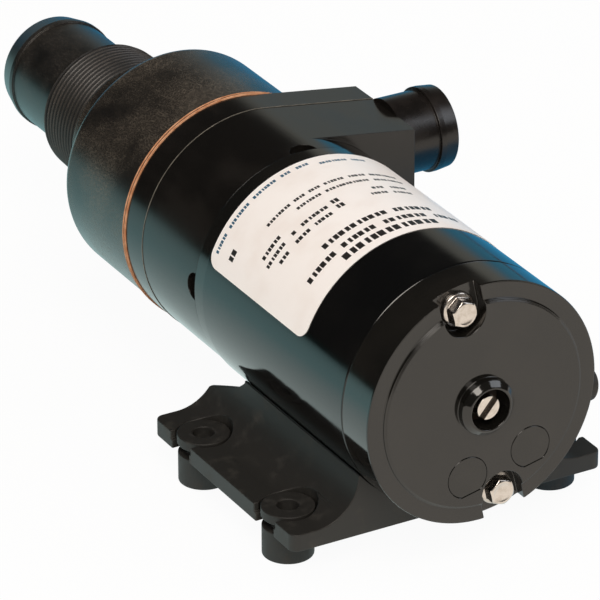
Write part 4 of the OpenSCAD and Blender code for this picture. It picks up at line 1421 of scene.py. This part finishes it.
@dataclass
class Studio:
    """Pale floor, soft lamps and the camera at the photograph's angle.

    Attributes:
        camera: Where the camera stands, in metres.
        azimuth, elevation, roll: Its angles in degrees.
        lens, sensor: Its focal length and the width of its sensor in millimetres.
        clip: The nearest and the furthest that it sees, in metres.
        floor_size, floor_z: Side and height of the floor in metres.
        paper: Colour of the floor's paper.
        paper_white: Share of the floor that is plain white to the camera.
        left_floor, left_tints: Colours that gloss mirrors of the floor's left side, by the
            distance from the object.
        right_floor, right_tints: The same for its right side.
        sides: Places across where the left side ends and the right one is full.
        front_tint, far_tint: Colours of the floor behind the motor and far off.
        room_level: Level of the room's even light.
        room_gloss, wall_gloss: Colours of the room and of its back wall in gloss.
        skirting: Colour of that wall's foot, by the height of the look.
        wall_way, wall_top, wall_sides: Direction, upper edge and sides of that wall.
        lamps: The lamps.
        target: Where they point, in metres.
    """

    camera: Place = (-0.72295, -1.23354, 0.78503)
    azimuth: float = -29.41
    elevation: float = 26.78
    roll: float = -0.15
    lens: float = 308.03
    sensor: float = 36.0
    clip: Point = (0.05, 30.0)
    floor_size: float = 9.0
    floor_z: float = -0.0003
    paper: str = "#f1f0ee"
    paper_white: float = 0.95
    left_floor: str = "#ecfefb"
    left_tints: tuple[Tint, ...] = (Tint("#c2f5f6", 0.08, 0.26), Tint("#15302f", 0.27, 1.35))
    right_floor: str = "#3f9ccb"
    right_tints: tuple[Tint, ...] = (Tint("#8a7568", 1.6, 2.8),)
    sides: Point = (-0.03, 0.1)
    front_tint: Tint = Tint("#fff6ea", -0.02, -0.1)
    far_tint: Tint = Tint("#141210", 2.8, 3.6)
    room_level: float = 0.5
    room_gloss: str = "#262626"
    wall_gloss: str = "#a5a49a"
    skirting: Tint = Tint("#4f9fc0", 0.3, 0.1)
    wall_way: Place = (0.588, 0.809, 0.0)
    wall_top: Point = (0.44, 0.34)
    wall_sides: Point = (0.6, 0.85)
    lamps: tuple[Softbox, ...] = (
        Softbox("key_softbox", (-0.55, -1.15, 1.45), 1.0, 21.8, "#fff6ec"),
        Softbox("fill_softbox", (1.1, -0.7, 1.0), 0.8, 5.0, "#f2f7ff"),
    )
    target: Place = (0.0, 0.06, 0.05)

    def place_camera(self) -> None:
        """Set the camera up."""
        a, e, r = (math.radians(x) for x in (self.azimuth, self.elevation, self.roll))
        right = Vector((math.cos(a), math.sin(a), 0))
        back = Vector((math.sin(a) * math.cos(e), -math.cos(a) * math.cos(e), math.sin(e)))
        up = back.cross(right)
        across = right * math.cos(r) + up * math.sin(r)
        upward = up * math.cos(r) - right * math.sin(r)
        data = bpy.data.cameras.new("camera")
        data.lens = self.lens
        data.sensor_width = self.sensor
        data.clip_start, data.clip_end = self.clip
        camera = bpy.data.objects.new("camera", data)
        camera.matrix_world = Matrix.Translation(self.camera) @ Matrix(
            (across, upward, back)
        ).transposed().to_4x4()
        bpy.context.scene.collection.objects.link(camera)
        bpy.context.scene.camera = camera

    def lay_floor(self) -> None:
        """Lay the floor and give it its pale paper."""
        half = self.floor_size / 2
        mesh = bmesh.new()
        corners = [(-half, -half), (half, -half), (half, half), (-half, half)]
        mesh.faces.new([mesh.verts.new((x, y, self.floor_z)) for x, y in corners])
        data = bpy.data.meshes.new("floor")
        mesh.to_mesh(data)
        mesh.free()
        floor = bpy.data.objects.new("floor", data)
        data.materials.append(self.floor_material())
        bpy.context.scene.collection.objects.link(floor)

    def floor_material(self) -> bpy.types.Material:
        """Make the floor's material: white to the camera, tinted like a studio to gloss.

        Returns:
            The material.
        """
        made = bpy.data.materials.new("pale_studio_paper")
        made.use_nodes = True
        tree = made.node_tree
        tree.nodes.clear()
        light = add_node(tree, "ShaderNodeLightPath")
        mirrored = add_node(
            tree, "ShaderNodeEmission", {"Color": self.floor_gloss(tree), "Strength": 1.0}
        )
        shown = add_node(tree, "ShaderNodeEmission", {"Color": (1, 1, 1, 1), "Strength": 1.0})
        paper = add_node(tree, "ShaderNodeBsdfDiffuse", {"Color": linear(self.paper)})
        to_camera = add_node(
            tree, "ShaderNodeMath", {0: light.outputs["Is Camera Ray"], 1: self.paper_white},
            operation="MULTIPLY",
        )
        seen = add_node(
            tree, "ShaderNodeMixShader",
            {0: to_camera.outputs[0], 1: paper.outputs[0], 2: shown.outputs[0]},
        )
        gloss = add_node(
            tree, "ShaderNodeMath",
            {0: light.outputs["Is Glossy Ray"], 1: light.outputs["Is Transmission Ray"]},
            operation="MAXIMUM",
        )
        mixed = add_node(
            tree, "ShaderNodeMixShader",
            {0: gloss.outputs[0], 1: seen.outputs[0], 2: mirrored.outputs[0]},
        )
        add_node(tree, "ShaderNodeOutputMaterial", {"Surface": mixed.outputs[0]})
        return made

    def floor_gloss(self, tree: Tree) -> Socket:
        """Draw what gloss mirrors of the floor: teal to its left, blue to its right.

        Args:
            tree: The floor's node tree.

        Returns:
            The colour in each place.
        """
        place = add_node(tree, "ShaderNodeNewGeometry").outputs["Position"]
        axes = add_node(tree, "ShaderNodeSeparateXYZ", {0: place})
        reach = add_node(
            tree, "ShaderNodeVectorMath", {0: place}, operation="LENGTH"
        ).outputs["Value"]
        left: Any = linear(self.left_floor)
        for tint in self.left_tints:
            left = tint.over(tree, reach, left)
        right: Any = linear(self.right_floor)
        for tint in self.right_tints:
            right = tint.over(tree, reach, right)
        start, end = self.sides
        share = add_node(
            tree, "ShaderNodeMapRange",
            {"Value": axes.outputs["X"], "From Min": start, "From Max": end},
            interpolation_type="SMOOTHSTEP",
        )
        side = add_node(
            tree, "ShaderNodeMix", {0: share.outputs["Result"], 6: left, 7: right},
            data_type="RGBA",
        )
        front = self.front_tint.over(tree, axes.outputs["Y"], side.outputs[2])
        return self.far_tint.over(tree, reach, front)

    def light(self) -> None:
        """Hang the lamps and light the room."""
        world = bpy.data.worlds.new("studio_room")
        bpy.context.scene.world = world
        world.use_nodes = True
        tree = world.node_tree
        tree.nodes.clear()
        path = add_node(tree, "ShaderNodeLightPath")
        level = add_node(
            tree, "ShaderNodeMapRange",
            {"Value": path.outputs["Is Camera Ray"], "To Min": self.room_level, "To Max": 1.0},
        )
        room = add_node(
            tree, "ShaderNodeBackground",
            {"Color": (1, 1, 1, 1), "Strength": level.outputs["Result"]},
        )
        wall = add_node(
            tree, "ShaderNodeBackground", {"Color": self.room_mirrored(tree), "Strength": 1.0}
        )
        both = add_node(
            tree, "ShaderNodeMixShader",
            {0: path.outputs["Is Glossy Ray"], 1: room.outputs[0], 2: wall.outputs[0]},
        )
        add_node(tree, "ShaderNodeOutputWorld", {"Surface": both.outputs[0]})
        for lamp in self.lamps:
            lamp.hang(self.target)

    def room_mirrored(self, tree: Tree) -> Socket:
        """Draw what gloss mirrors of the room: a dim one with a grey wall low at the back right.

        Args:
            tree: The world's node tree.

        Returns:
            The colour in each direction.
        """
        way = add_node(tree, "ShaderNodeTexCoord").outputs["Generated"]
        height = add_node(tree, "ShaderNodeSeparateXYZ", {0: way}).outputs["Z"]
        aside = add_node(
            tree, "ShaderNodeVectorMath", {0: way, 1: self.wall_way}, operation="DOT_PRODUCT"
        ).outputs["Value"]
        shares = [
            add_node(
                tree, "ShaderNodeMapRange", {"Value": value, "From Min": start, "From Max": end},
                interpolation_type="SMOOTHSTEP",
            ).outputs["Result"]
            for value, (start, end) in ((height, self.wall_top), (aside, self.wall_sides))
        ]
        share = add_node(
            tree, "ShaderNodeMath", dict(enumerate(shares)), operation="MULTIPLY"
        )
        wall = self.skirting.over(tree, height, linear(self.wall_gloss))
        return add_node(
            tree, "ShaderNodeMix",
            {0: share.outputs[0], 6: linear(self.room_gloss), 7: wall}, data_type="RGBA",
        ).outputs[2]


def main() -> None:
    """Build and dress the pump and its studio, in order."""
    logging.basicConfig(level=logging.INFO, format="%(name)s %(message)s")
    bpy.context.scene.view_settings.view_transform = "Standard"
    studio = Studio()
    studio.place_camera()
    studio.lay_floor()
    studio.light()
    for assembly in (WetEnd(), Base(), Motor()):
        assembly.dress()
        assembly.build()


if __name__ == "__main__":
    main()
